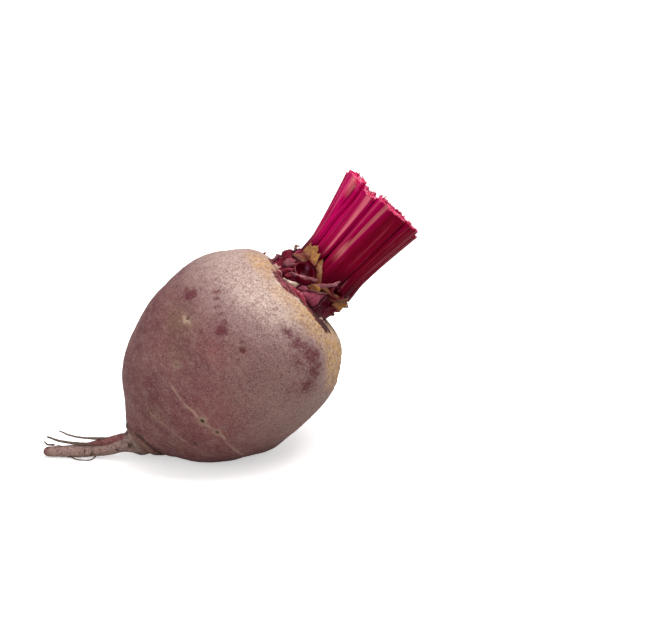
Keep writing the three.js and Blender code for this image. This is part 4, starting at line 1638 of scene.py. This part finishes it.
@dataclass
class LeafStalks:
    """The leaf stalks, cut short: a ring of nine, five within it, and the youngest in the middle."""

    finish: Material
    rings: tuple = (
        StalkRing(
            9, (1.34, 0.94, 0.89, 0.94, 0.97, 0.94, 1.03, 1.12, 0.79),
            (7, 4, 0, 0, 0, 0, 6, 13, 12), 10.6, 15.7, 7, 4.9, 1.36,
        ),
        StalkRing(21, (1,) * 5, (0,) * 5, 4.7, 8.8, 4.9, 3.5, 1.5),
        StalkRing(0, (1,), (0,), 0, 1, 3.6, 2.8, 1.35),
    )
    foot: float = 93.4
    cut: float = 129.4
    cut_rise: float = 0.1
    cut_jitter: float = 1.1
    lean: float = -5.9
    bow: float = 1.1
    crown_top: float = 97.2
    close: float = 1.1
    segments: int = 128
    steps: int = 72
    fibres: int = 12
    cut_levels: tuple = (0.93, 0.8, 0.6, 0.36, 0.14)
    stripe_ranges: tuple = ((-0.2, 0.4), (0.7, 1.4), (0.4, 0.95), (0, 1))
    seed: int = 29
    looks: dict = field(default_factory=lambda: {
        1: StalkLook(
            (Stripe(-28, -20, 16, 4, 0.28, 0.52, 0.95, 0.7), Stripe(-24, -14, 6, 6, 0.4, 1.3, 0.9, 0.75),
             Stripe(-50, -46, 3, 5, 0.3, 1.3, 0.3, 0.2), Stripe(26, 22, 2, 3, 0.2, 0.9, 0.25, 0)),
            0.2, 1.1, 0, 60, 3.9, 2.1),
        2: StalkLook(
            (Stripe(-58, -56, 9, 3, -0.2, 0.2, 0.85, 0.4), Stripe(-34, -30, 3, 3, 0.3, 1.3, 0.55, 0.1),
             Stripe(6, 10, 2.5, 3, 0.35, 1.3, 0.5, 0.1)), 0.6, 0.3, 0, 60, 0.3, 0.8),
        3: StalkLook((Stripe(-30, -34, 2, 3, 0.3, 1.3, 0.3, 0),), 0.6, 0.2, 0, 60, 1, 1),
        8: StalkLook(
            (Stripe(10, 6, 5, 5, -0.2, 1.3, 0.4, 0), Stripe(30, 24, 6, 18, 0.84, 1.4, 0.95, 0.9)),
            -0.4, 0, 3.4, 50, 1.2, 1),
        9: StalkLook(
            (Stripe(26, 24, 5, 18, 0.2, 1.3, 0.95, 0.35), Stripe(-8, -10, 3, 4, 0.3, 1, 0.25, 0)),
            -0.22, 0, 5, -66, 1.2, 1),
    })

    def centre(self, ring: StalkRing, i: int) -> tuple[Array, Array]:
        """Finds the line that a stalk grows along.

        Args:
            ring: The stalk's ring.
            i: Its number in the ring.

        Returns:
            The stalk's middle line in the root's frame, and the directions that it faces out.
        """
        turn, swing = ring.turns()[i], ring.swings[i]
        out, end = LIE.towards(turn), LIE.towards(turn + swing)
        lower = LIE.towards(LIE.lower_side)
        base = LIE.middle(self.crown_top)
        foot = np.array([*(base + out * ring.foot), self.foot])
        jitter = self.cut_jitter * math.sin(4.3 * i + len(ring.breadths))
        rise = self.cut_rise * float(end @ lower) * ring.spread + jitter
        tip = np.array([*(base + end * ring.spread + lower * self.lean), self.cut + rise])
        middle = (foot + tip) / 2 - np.array([*out, 0]) * self.bow
        t = np.linspace(0, 1, self.steps + 1)[:, None]
        outward = np.concatenate([LIE.towards(turn + swing * t[:, 0]), np.zeros_like(t)], axis=1)
        return (1 - t) ** 2 * foot + 2 * t * (1 - t) * middle + t**2 * tip, outward

    def random_look(self, number: int) -> StalkLook:
        """Draws a look for a stalk of the other sides.

        Args:
            number: The stalk's number.

        Returns:
            Its look.
        """
        draw = np.random.default_rng(self.seed + number)
        stripes = tuple(
            Stripe(
                *(draw.normal(0, 32) + draw.normal(0, 4, 2)), *draw.uniform(3, 11, 2),
                *(draw.uniform(low, high) for low, high in self.stripe_ranges),
            )
            for _ in range(int(draw.integers(1, 4)))
        )
        groove = 2 * (draw.uniform() > 0.7)
        shade, shaded_side = draw.uniform(-0.15, 0.3), draw.uniform(-0.3, 0.3)
        return StalkLook(stripes, shade, shaded_side, groove, draw.uniform(-60, 60))

    def section(self, ring: StalkRing, i: int, turn: Array) -> tuple[Array, Array]:
        """A stalk's outline across.

        Args:
            ring: The stalk's ring.
            i: Its number in the ring.
            turn: Angles round the outline.

        Returns:
            How far it reaches out and aside at each angle.
        """
        out, aside = np.cos(turn), np.sin(turn)
        rib = 1 + 0.03 * np.cos(6 * turn)
        hollow = np.where(out < 0, 1 - 0.6 * out**2, 1)
        depth = ring.thickness / 2 * np.sign(out) * np.abs(out) ** 0.76 * rib * hollow
        breadth = ring.width * ring.breadths[i] / 2
        across = breadth * np.sign(aside) * np.abs(aside) ** 0.74 * rib * (1 + 0.14 * out)
        return depth, across * self.close

    def add_stalk(self, form: Form, ring: StalkRing, i: int, number: int) -> None:
        """Adds one stalk with its ribs, its groove and its ragged cut end.

        Args:
            form: The stalk's mesh.
            ring: The stalk's ring.
            i: Its number in the ring.
            number: Its number among all the stalks.
        """
        look = self.looks.get(number) or self.random_look(number)
        line, outward = self.centre(ring, i)
        rise = np.linspace(0, 1, self.steps + 1)[:, None]
        size = 1 + (ring.swell - 1) * rise
        ahead = unit(np.gradient(line, axis=0))
        aside = unit(np.cross(ahead, outward))
        facing = np.cross(aside, ahead)
        turn = 2 * np.pi * np.arange(self.segments) / self.segments
        degrees = np.degrees(turn)
        depth, across = self.section(ring, i, turn)
        rings = line[:, None] + facing[:, None] * (depth * size)[..., None]
        rings = rings + aside[:, None] * (across * size)[..., None]

        shape = rings.shape[:2]
        girth = np.cumsum(np.hypot(np.diff(across, append=across[:1]), np.diff(depth, append=depth[:1])))
        length = np.broadcast_to(rise * np.linalg.norm(line[-1] - line[0]), shape)
        around = np.broadcast_to(np.stack([depth, across], axis=1) * 1.15, (*shape, 2))
        wrapped = np.concatenate([around, (length * 0.045 + number * 9)[..., None]], axis=-1)
        flat = wrapped * ACROSS_ONLY + number
        valley = rough(wrapped, 2, 121)
        ribs = -0.26 * hump(valley, 0.16) + 0.09 * rough(wrapped, 0.6, 122)
        notch = hump(turn_gap(degrees, look.groove_at)[None], 8 + 20 * ramp(rise, 0.3, 1))
        notch = notch * ramp(rise, 0.4, 0.95)
        outer = facing[:, None] * np.cos(turn)[:, None] + aside[:, None] * np.sin(turn)[:, None]
        rings = rings + outer * (ribs - look.groove * notch)[..., None]

        front = np.clip(np.cos(turn), 0, 1)[None]
        near_foot = 1 - ramp(rise, 0, 0.24)
        clasp = float(ring.foot > 8)
        rings = rings - ahead[:, None] * (clasp * look.drop * near_foot**1.6 * front**2.2)[..., None]
        rings = rings + facing[:, None] * (clasp * look.flare * near_foot * front)[..., None]
        teeth = 0.8 * layered(flat, 2.6, 123) + 0.5 * rough(flat, 0.8, 125)
        teeth = teeth - 1.3 * look.groove * notch[-1:]
        rings = rings + ahead[:, None] * (ramp(rise, 0.93, 1) * teeth)[..., None]

        stripes, tan = np.zeros(shape), np.zeros(shape)
        for stripe in look.stripes:
            cover = stripe.share(degrees[None], rise)
            tan = np.where(cover > stripes, stripe.tan, tan)
            stripes = np.maximum(stripes, cover)
        side = turn_gap(degrees, 0)[None]
        # Painted shade: darker toward the foot, by each stalk's own amount and on its shaded side, with some
        # random tone.
        shade = 0.34 + 0.66 * (1 - rise) ** 1.4 + look.shade + look.shaded_side * (ramp(side, -14, 14) - 0.3)
        shade = shade + 0.28 * rough(wrapped, 2, 126)
        # Painted shade in the deep groove, at the foot, on the inward side and in the rib valleys.
        cleft = np.clip(1.2 * notch * (look.groove > 0) * (1.25 - rise), 0, 1)
        low = 0.95 * clasp * (1 - ramp(rise, 0.06, 0.34)) * (0.6 + 0.4 * ramp(side, -30, 10))
        groove = np.zeros(shape)
        for darker in (0.5 * ramp(-np.cos(turn), 0.2, 0.9)[None], 0.32 * hump(valley, 0.12), cleft, low):
            groove = np.maximum(groove, darker)
        open_cleft = (look.groove > 0) * notch * ramp(rise, 0.84, 0.96)
        values = {
            "stalk_place": spread(girth, length, number * 11),
            "root_place": rings,
            "mask_stripe": stripes * np.clip(0.85 + 0.35 * rough(wrapped, 1, 128), 0, 1),
            "mask_tan": tan,
            "mask_shade": np.clip(shade, 0, 1),
            "mask_groove": groove * (1 - ramp(rise, 0.86, 0.97) * notch),
            "mask_cut": np.maximum(0.8 * ramp(rise, 0.985, 1), open_cleft),
        }
        middle = rings[-1].mean(axis=0)
        levels = [middle + (rings[-1] - middle) * scale for scale in self.cut_levels]
        inset = np.array([v + ahead[-1] * (0.5 * layered(v, 1.1, 131) - 0.45)[:, None] for v in levels])
        count = len(inset)
        for name, value in values.items():
            values[name] = np.concatenate([value, np.repeat(value[-1:], count, axis=0)])
        values["root_place"][-count:] = inset
        values["mask_cut"][-count:] = 1
        for name in ("mask_stripe", "mask_groove"):
            values[name][-count:] = 0
        form.tube(LIE.to_part(np.concatenate([rings, inset])), **values)
        self.add_fibres(form, rings[-1], ahead[-1], number)

    def add_fibres(self, form: Form, rim: Array, ahead: Array, number: int) -> None:
        """Adds torn fibres that stand up from the rim of a cut.

        Args:
            form: The stalk's mesh.
            rim: The cut's rim, point by point.
            ahead: The way that the stalk points.
            number: The stalk's number.
        """
        draw = np.random.default_rng(self.seed + number)
        middle = rim.mean(axis=0)
        for _ in range(self.fibres):
            point = rim[int(draw.integers(0, len(rim)))]
            root = point + (middle - point) * draw.uniform(0, 0.25) - ahead * 0.5
            reach = draw.uniform(0.9, 2.4)
            heading = unit(ahead + 0.5 * draw.normal(0, 1, 3))
            bend = 0.35 * draw.normal(0, 1, 3)
            t = np.linspace(0, 1, 6)[:, None]
            line = root + heading * reach * t + bend * t**2
            rings = tube_rings(line, draw.uniform(0.12, 0.3) * (1 - 0.75 * t[:, 0]), 6)
            blank = np.zeros(rings.shape[:2])
            cut = blank + draw.uniform(0.3, 1)
            form.tube(
                LIE.to_part(rings), 0.05, stalk_place=rings + number, root_place=rings, mask_stripe=blank,
                mask_tan=blank, mask_shade=blank + 0.2, mask_groove=blank, mask_cut=cut,
            )

    def build(self) -> None:
        """Builds every stalk as a piece of its own."""
        places = [(ring, i) for ring in self.rings for i in range(len(ring.breadths))]
        for number, (ring, i) in enumerate(places, 1):
            form = Form()
            self.add_stalk(form, ring, i, number)
            form.build(f"cut_stalk_{number}", self.finish, Slot.STALK, f"leaf_stalk_{number}")


# Dry husks, torn skin and hairs.


@dataclass(frozen=True)
class HuskPlace:
    """Where a dry leaf base stands."""

    turn: float
    foot: float
    height: float
    half_angle: float
    lift: float


@dataclass
class DryHusks:
    """The dry, papery bases of older leaves that stand against the crown."""

    finish: Material
    crown: Crown
    places: tuple = (
        HuskPlace(-38, 93.2, 6.2, 20, 14),
        HuskPlace(11, 86, 4.6, 8.5, 8),
        HuskPlace(67, 87.8, 5.2, 11, 8),
        HuskPlace(147, 88.4, 8, 8, 10),
        HuskPlace(-146, 88, 8.8, 15, 14),
    )
    gap: float = 0.75
    thickness: float = 0.35
    rows: int = 36
    columns: int = 60

    def grid(self, place: HuskPlace, depth: float, seed: int) -> tuple[Array, Array, Array]:
        """Makes one face of a husk.

        Args:
            place: Where the husk stands.
            depth: How far the face is moved out.
            seed: Picks another torn edge.

        Returns:
            Its points in the root's frame, and its rows' and columns' shares.
        """
        row = np.linspace(0, 1, self.rows + 1)[:, None]
        row, share = np.broadcast_arrays(row, np.linspace(0, 1, self.columns + 1)[None, :])
        side = 2 * share - 1
        turn = place.turn + place.half_angle * side * (1 - 0.2 * row**2)
        edge = spread(share * 12, seed, 0)
        torn = 1 - 0.24 * np.abs(np.sin(7 * share + place.turn)) - 0.3 * side**4
        torn = torn - 0.22 * np.clip(layered(edge, 1.3, 141, 4), -0.4, 1)
        along = place.foot + place.height * torn * row
        against = np.minimum(along, self.crown.stalk_foot - 0.8)
        lean = math.tan(math.radians(place.lift))
        wrinkle = 0.22 * rough(spread(turn * 0.25, along, 0), 1.2, 143) * row
        radius = self.crown.radius(turn, against) + self.gap + (along - against) * lean + depth + wrinkle
        flat = LIE.middle(against) + LIE.towards(turn) * radius[..., None]
        return np.concatenate([flat, along[..., None]], axis=-1), row, share

    def build(self) -> None:
        """Builds every husk."""
        for number, place in enumerate(self.places, 1):
            back, row, share = self.grid(place, 0, number)
            front, _, _ = self.grid(place, self.thickness, number)
            wide = spread(share * place.half_angle * 0.5, row * place.height, 5 * number)
            bright = hump(share - 0.7, 0.22) * (0.5 + 0.5 * row)
            form = Form()
            form.blade(
                LIE.to_part(front), LIE.to_part(back), grain_place=wide,
                mask_foot=0.75 * (1 - ramp(row, 0, 0.3)), mask_dull=0.85 * (1 - bright),
            )
            form.build(f"dry_husk_{number}", self.finish, Slot.HUSK, f"dry_leaf_base_{number}")


@dataclass(frozen=True)
class Fold:
    """A fold or torn strip on the crown, between a foot line and a tip line.

    Each place of a line is how far it lies across the crown's best side, its place along the axis, and
    how far it stands off the crown, in millimetres.
    """

    tone: Tone
    foot: tuple[tuple, ...]
    tip: tuple[tuple, ...]
    strength: float = 0.9
    ragged: float = 0.3
    bulge: float = 0.3
    edge: Tone | None = None


@dataclass
class CrownFolds:
    """The folds, lips and torn strips between the leaf scars, and the torn skin round the rim."""

    finish: Material
    crown: Crown
    folds: tuple = (
        Fold(Tone.MAUVE, ((-7.6, 83.2, 0.1), (-4.4, 85.2, 0.5), (-1.2, 87.6, 0.7), (1.6, 89.8, 0.7)),
             ((-7.4, 84.8, 1), (-5, 87, 2.3), (-2, 89.3, 2.9),
             (0.9, 91.4, 2.1)), 0.82, 0.12, 0.5, Tone.PINK),
        Fold(Tone.OLIVE, ((-6.6, 94.8, 0.7), (-3.8, 92.9, 0.9), (-0.6, 90.7, 1.2), (1.2, 89.5, 0.9)),
             ((-5.4, 97.4, 1.6), (-2.2, 94.8, 2), (0.8, 92.2, 2.4),
             (2.4, 90.7, 2)), 0.85, 0.15, 0.5, Tone.OLIVE),
        Fold(Tone.OLIVE, ((-13.6, 89.2, 0.3), (-11.4, 89.8, 0.6), (-9.4, 90.4, 0.6)),
             ((-13.4, 93.6, 1.4), (-11.2, 94.2, 1.7), (-9, 93.8, 1.4)), 0.6, 0.5, 0.3, Tone.OLIVE),
        Fold(Tone.MAUVE, ((2.9, 88.6, 0.5), (4.9, 90.6, 0.8), (6.5, 93, 0.8), (7.7, 95.6, 0.6)),
             ((2, 90.2, 1.6), (3.8, 92.2, 2.2), (5.4, 94.5, 2.3),
             (6.8, 96.8, 1.8)), 0.7, 0.12, 0.4, Tone.PINK),
        Fold(Tone.OLIVE, ((2.6, 88.8, 0.4), (6.6, 89.5, 0.7), (10.4, 90, 0.8), (14.2, 91.4, 0.9)),
             ((2.6, 90.2, 1.2), (6.6, 91.5, 1.7), (10.6, 92.1, 1.8),
             (14.6, 94, 1.7)), 0.72, 0.25, 0.4, Tone.OLIVE),
        Fold(Tone.OLIVE, ((9.4, 88.6, 0.2), (11.4, 88.4, 0.3), (13.6, 89, 0.3)),
             ((9.8, 90.4, 1.1), (11.8, 91.2, 1.2), (14, 91.8, 1)), 0.5, 0.4, 0.3, Tone.GOLD),
        Fold(Tone.PURPLE, ((1, 81.8, 0.3), (4.6, 81.5, 0.6), (9, 81.2, 0.5)),
             ((1.5, 83.6, 0.4), (5, 86.8, 1.3), (8.3, 89.4, 1.1)), 0.8, 0.08, 1, None),
        Fold(Tone.MAUVE, ((2.2, 84.4, 0.4), (4, 86, 0.7), (6.2, 87.8, 0.9), (8.2, 89.4, 0.8)),
             ((1.8, 85, 1.2), (3.5, 86.8, 1.7), (5.7, 88.6, 1.9),
             (7.7, 90.2, 1.6)), 0.6, 0.15, 0.2, Tone.OLIVE),
        Fold(Tone.MAUVE, ((8.6, 81, 0.4), (9, 84.8, 0.5), (8.5, 88.8, 0.5)),
             ((9.4, 80.8, 1.4), (9.7, 84.8, 1.6), (9.2, 89.2, 1.3)), 0.6, 0.15, 0.2, None),
        Fold(Tone.PURPLE, ((-0.6, 82.4, 0.4), (1, 82.8, 0.5), (2.4, 83.8, 0.4)),
             ((-0.8, 85, 1.2), (0.9, 86, 1.5), (2.2, 86, 1.1)), 0.9, 0.2, 0.4, Tone.MAUVE),
        Fold(Tone.RED, ((-9.8, 81.2, 0.4), (-8.6, 81.6, 0.8), (-7.6, 82, 0.4)),
             ((-9.2, 85.4, 1.4), (-8.5, 86.4, 1.9), (-7.8, 85.2, 1.2)), 0.25, 0.2, 0.3, Tone.RED),
        Fold(Tone.RED, ((-8, 81.6, 0.6), (-7, 81.8, 0.9), (-5.6, 82.2, 0.5)),
             ((-7.7, 84, 1.6), (-7, 84.6, 2), (-5.8, 84.6, 1.4)), 0.6, 0.2, 0.3, Tone.RED),
        Fold(Tone.MAUVE, ((-12.8, 84.6, 0.3), (-11, 84.2, 0.6), (-9.4, 84.8, 0.5)),
             ((-12.6, 88.4, 1.2), (-10.8, 89, 1.5), (-9.4, 90, 1.2)), 0.3, 0.3, 0.4, Tone.RED),
        Fold(Tone.WHITE, ((-14, 80.6, 1.6), (-12.2, 80.6, 2), (-10.4, 80.8, 1.8)),
             ((-13.6, 83.2, 2.2), (-12.2, 82.6, 2.8), (-10.6, 82.8, 2.4)), 0.6, 0.5, 0.2, Tone.PINK),
        Fold(Tone.RED, ((-11.2, 80, 2.4), (-9.6, 80, 2.8), (-8, 80, 2.6)),
             ((-10.8, 81.6, 2.8), (-9.4, 82.5, 3.2), (-8.1, 81.4, 2.8)), 0.5, 0.2, 0.2, Tone.WHITE),
        Fold(Tone.WHITE, ((-7.4, 80.4, 2.2), (-5.4, 80.9, 2.6), (-3.4, 81.6, 2.8), (-1.3, 82.4, 2.4)),
             ((-7.2, 81.5, 2.8), (-5.2, 82.4, 3.4), (-3.2, 83.5, 3.4),
             (-1.6, 84.5, 2.8)), 0.85, 0.16, 0.4, Tone.WHITE),
        Fold(Tone.RED, ((-6.4, 79.8, 2.9), (-2, 79.8, 3.2), (3.2, 79.9, 3), (8.4, 79.6, 2.4)),
             ((-6.6, 80.6, 2.9), (-2, 82, 3.4), (2.4, 83, 3.2),
             (8, 80.9, 2.6)), 0.62, 0.12, 0.5, Tone.PINK),
        Fold(Tone.WHITE, ((6.6, 80.2, 3), (10.2, 79.9, 3.4), (12.8, 79.6, 3.2)),
             ((6.8, 80.7, 3.2), (10.2, 80.6, 3.6), (12.8, 80.3, 3.4)), 0.55, 0.2, 0.2, Tone.PINK),
        Fold(Tone.PINK, ((13.8, 80.2, 4.6), (15, 80.4, 5.2), (16.4, 80.4, 5.4)),
             ((14, 81.2, 5), (15.2, 82.2, 5.8), (16.6, 81.4, 6)), 0.4, 0.9, 0.3, Tone.WHITE),
    )
    other_sides: tuple = ((142, -1, 0.3), (222, 1, -0.2))
    rows: int = 14
    reach: float = 14.9

    def line(self, places: tuple, columns: int, swing: float, side: float, rise: float) -> tuple:
        """Bends a fold's line round the crown.

        Args:
            places: The fold's line.
            columns: How many steps it gets.
            swing: The turn that it is moved by.
            side: 1, or -1 to mirror it.
            rise: How far it is moved along the axis.

        Returns:
            The turns, the places along the axis and the heights off the crown of its points.
        """
        across, along, lift = curve_through(places, columns).T
        turn = np.degrees(np.arcsin(np.clip(across / (self.reach + lift), -0.99, 0.99)))
        return swing + side * turn, along + rise * (along > 83), lift

    def add_fold(self, form: Form, fold: Fold, number: int, *move: float) -> None:
        """Adds one fold.

        Args:
            form: The folds' mesh.
            fold: The fold.
            number: Picks another torn edge.
            *move: The turn that it is moved by, 1 or -1 to mirror it, and how far it is moved along.
        """
        length = np.linalg.norm(np.diff(np.array(fold.foot), axis=0), axis=1).sum()
        columns = int(length * 5) + 6
        row = np.linspace(0, 1, self.rows)[:, None]
        share = np.linspace(0, 1, columns + 1)[None, :]
        edge = spread(share * length, 3.7 * number, move[0] * 0.1)
        torn = 1 + fold.ragged * layered(edge, 1.6, 151, 4) + 0.4 * fold.ragged * rough(edge, 0.6, 152)
        reach = row * torn
        foot, tip = self.line(fold.foot, columns, *move), self.line(fold.tip, columns, *move)
        turn, along, lift = (low + (high - low) * reach for low, high in zip(foot, tip))
        lift = lift + fold.bulge * np.sin(np.pi * row) * np.sin(np.pi * share) ** 0.5
        wide = spread(share * length, row * 2, 3 * number)
        lift = lift + 0.22 * rough(wide, 1.1, 153) * row
        radius = self.crown.radius(turn, np.clip(along, 82, 95.2)) + lift
        thick = (0.42 - 0.24 * row) * np.clip(8 * np.minimum(share, 1 - share), 0.25, 1)
        front = LIE.place(turn, along, radius + thick)
        back = LIE.place(turn, along, radius - 0.1)
        values = {tone.mask(): np.zeros(turn.shape) for tone in Tone}
        values[fold.tone.mask()] += fold.strength * np.clip(0.9 + 0.5 * rough(wide, 1.6, 154), 0.3, 1)
        if fold.edge:
            paler = ramp(reach + 0.25 * rough(wide, 0.8, 155), 0.78, 1.02) * 0.8
            values[fold.edge.mask()] = np.maximum(values[fold.edge.mask()], paler)
        shadow = 0.75 * (1 - ramp(row, 0, 0.4)) * (fold.tone is not Tone.WHITE)
        values["mask_shadow"] = np.broadcast_to(shadow, turn.shape)
        form.blade(LIE.to_part(front), LIE.to_part(back), grain_place=wide, **values)

    def build(self) -> None:
        """Builds the folds of every side as one piece."""
        form = Form()
        for number, fold in enumerate(self.folds):
            self.add_fold(form, fold, number, 0, 1, 0)
        for copy, move in enumerate(self.other_sides):
            for number, fold in enumerate(self.folds):
                if (number * 7 + copy * 3) % 5 < 3 or fold.foot[0][1] < 82:
                    self.add_fold(form, fold, number + 20 * (copy + 1), *move)
        form.build("crown_folds", self.finish, Slot.CROWN)


@dataclass
class RootHairs:
    """Hairs and thin rootlets that leave the taproot and lie along the surface."""

    finish: Material
    routes: tuple = (
        (((-44, 1.9, 5.6), (-51, 3.6, 5.9), (-58, 5.8, 6.1), (-63, 7.4, 7), (-67.6, 8.8, 8.6)),
         (0.9, 0.72, 0.64, 0.54, 0.36)),
        (((-40, 0.6, 8.2), (-47, 2.2, 8.6), (-54, 4.2, 8.7), (-59, 6, 9.6), (-63, 7.2, 11.4)),
         (0.8, 0.56, 0.48, 0.4, 0.26)),
        (((-58, 5.8, 1.6), (-60.5, 6, 0.5), (-57, 5, 0.45), (-53.5, 4.4, 1.4)), (0.24, 0.2, 0.2)),
        (((-59, 4.2, 0.9), (-57, 2.6, 0.35), (-54.5, 1.4, 0.3), (-51.8, 1, 0.35), (-49.6, 2.4, 0.9)),
         (0.28, 0.24, 0.24)),
        (((-65, 8.6, 4.9), (-66.8, 8.6, 5.2), (-68, 8.6, 5.6), (-69, 8.8, 6.8)), (0.5, 0.42, 0.24)),
        (((-49, 3.4, 5), (-51.5, 2.2, 6.4), (-55, 2, 6.9)), (0.22, 0.16, 0.1)),
        (((-62, 7.4, 4.4), (-63.5, 6.4, 5.6), (-66, 6.6, 6)), (0.2, 0.15, 0.1)),
    )
    steps: int = 50
    wander: float = 0.12

    def build(self) -> None:
        """Builds the hairs as one piece."""
        form = Form()
        rise = np.linspace(0, 1, self.steps + 1)
        for number, (route, radii) in enumerate(self.routes):
            line = curve_through(route, self.steps)
            wander = np.stack([rough(line + 7 * axis, 2.2, 161 + number) for axis in range(3)], axis=-1)
            line = line + self.wander * wander * ramp(rise, 0, 0.3)[:, None]
            radius = np.interp(np.linspace(0, len(radii) - 1, self.steps + 1), range(len(radii)), radii)
            radius = radius * (1 + 0.15 * rough(line, 1.2, 171))
            rings = tube_rings(line, radius, 10)
            rings[..., 2] = np.maximum(rings[..., 2], 0.02)
            form.tube(rings, 0.1, root_place=LIE.to_root(rings))
        form.build("root_hairs", self.finish, Slot.SKIN)


# The studio.


@dataclass
class Studio:
    """A pale floor, soft light from above, and the camera."""

    azimuth: float = -14.0
    elevation: float = 22.0
    place: tuple = (-154.72, -800.92, 386.29)
    lens: float = 123.1
    floor_size: float = 8.0
    floor_colour: tuple = rgb(250, 249, 248)
    floor_shade: tuple = rgb(247, 246, 245)
    floor_bounce: tuple = rgb(196, 194, 193)
    floor_glow: float = 0.5

    def set_camera(self) -> None:
        """Places the camera."""
        camera = bpy.data.cameras.new("camera")
        camera.lens = self.lens
        camera.sensor_width = 36
        camera.clip_start, camera.clip_end = 0.01, 50
        holder = bpy.data.objects.new("camera", camera)
        bpy.context.scene.collection.objects.link(holder)
        a, e = math.radians(self.azimuth), math.radians(self.elevation)
        look = Vector((-math.sin(a) * math.cos(e), math.cos(a) * math.cos(e), -math.sin(e)))
        right = Vector((math.cos(a), math.sin(a), 0))
        up = right.cross(look)
        turned = Matrix((right, up, -look)).transposed().to_4x4()
        holder.matrix_world = Matrix.Translation(Vector(self.place) * MM) @ turned
        bpy.context.scene.camera = holder

    def add_floor(self) -> None:
        """Lays the floor."""
        half = self.floor_size / 2
        mesh = bpy.data.meshes.new("floor")
        corners = [(-half, -half, 0), (half, -half, 0), (half, half, 0), (-half, half, 0)]
        mesh.from_pydata(corners, [], [(0, 1, 2, 3)])
        floor = bpy.data.objects.new("floor", mesh)
        bpy.context.scene.collection.objects.link(floor)
        t = Coat("pale floor", Roughness=0.9, Specular_IOR_Level=0.05, Emission_Color=(1, 1, 1, 1))
        seen = t.node("ShaderNodeLightPath").outputs["Is Camera Ray"]
        at = t.node("ShaderNodeTexCoord").outputs["Object"]
        shade = t.mix(t.between(t.noise(at, 3), 0.3, 0.7), self.floor_colour, self.floor_shade)
        colour, glow = t.mix(seen, self.floor_bounce, shade), t.times(seen, self.floor_glow)
        mesh.materials.append(t.dress(Base_Color=colour, Emission_Strength=glow))

    @staticmethod
    def add_light(name: str, place: tuple, aim: tuple, size: float, power: float, tint: tuple) -> None:
        """Adds a square soft light.

        Args:
            name: Its name.
            place: Where it hangs, in metres.
            aim: Where it points.
            size: Its side in metres.
            power: Its power in watts.
            tint: Its colour.
        """
        light = bpy.data.lights.new(name, "AREA")
        light.shape = "SQUARE"
        light.size, light.energy, light.color = size, power, tint
        holder = bpy.data.objects.new(name, light)
        bpy.context.scene.collection.objects.link(holder)
        heading = (Vector(aim) - Vector(place)).to_track_quat("-Z", "Y")
        holder.matrix_world = Matrix.Translation(place) @ heading.to_matrix().to_4x4()

    def set_light(self) -> None:
        """Hangs the lights and sets the surroundings."""
        world = bpy.data.worlds.new("surroundings")
        world.use_nodes = True
        t = Tree(world.node_tree)
        split = t.node("ShaderNodeSeparateXYZ", {0: t.node("ShaderNodeTexCoord").outputs["Generated"]})
        strength = t.between(split.outputs[2], -0.1, 0.9, 0.34, 0.66)
        t.feed(world.node_tree.nodes["Background"].inputs["Strength"], strength)
        world.node_tree.nodes["Background"].inputs["Color"].default_value = (1, 1, 1, 1)
        bpy.context.scene.world = world
        centre = (0, 0, 0.05)
        self.add_light("key", (0.3, -0.1, 1.1), centre, 0.7, 10, (1, 0.985, 0.965))
        self.add_light("side", (-0.95, -0.5, 0.5), centre, 0.6, 2.6, (0.98, 0.99, 1))

    def build(self) -> None:
        """Builds the studio."""
        self.set_camera()
        self.add_floor()
        self.set_light()
        bpy.context.scene.view_settings.view_transform = "Standard"


def main() -> None:
    """Builds the studio and every piece of the beetroot, in order."""
    logging.basicConfig(level=logging.INFO, format="%(name)s: %(message)s")
    Studio().build()
    shared = SharedEffects()
    SwollenRoot(SkinFinish(shared).material()).build()
    crown = Crown(CrownFinish(shared).material())
    crown.build()
    LeafStalks(StalkFinish(shared).material()).build()
    DryHusks(HuskFinish(shared).material(), crown).build()
    CrownFolds(TornFinish(shared).material(), crown).build()
    RootHairs(HairFinish(shared).material()).build()


if __name__ == "__main__":
    main()
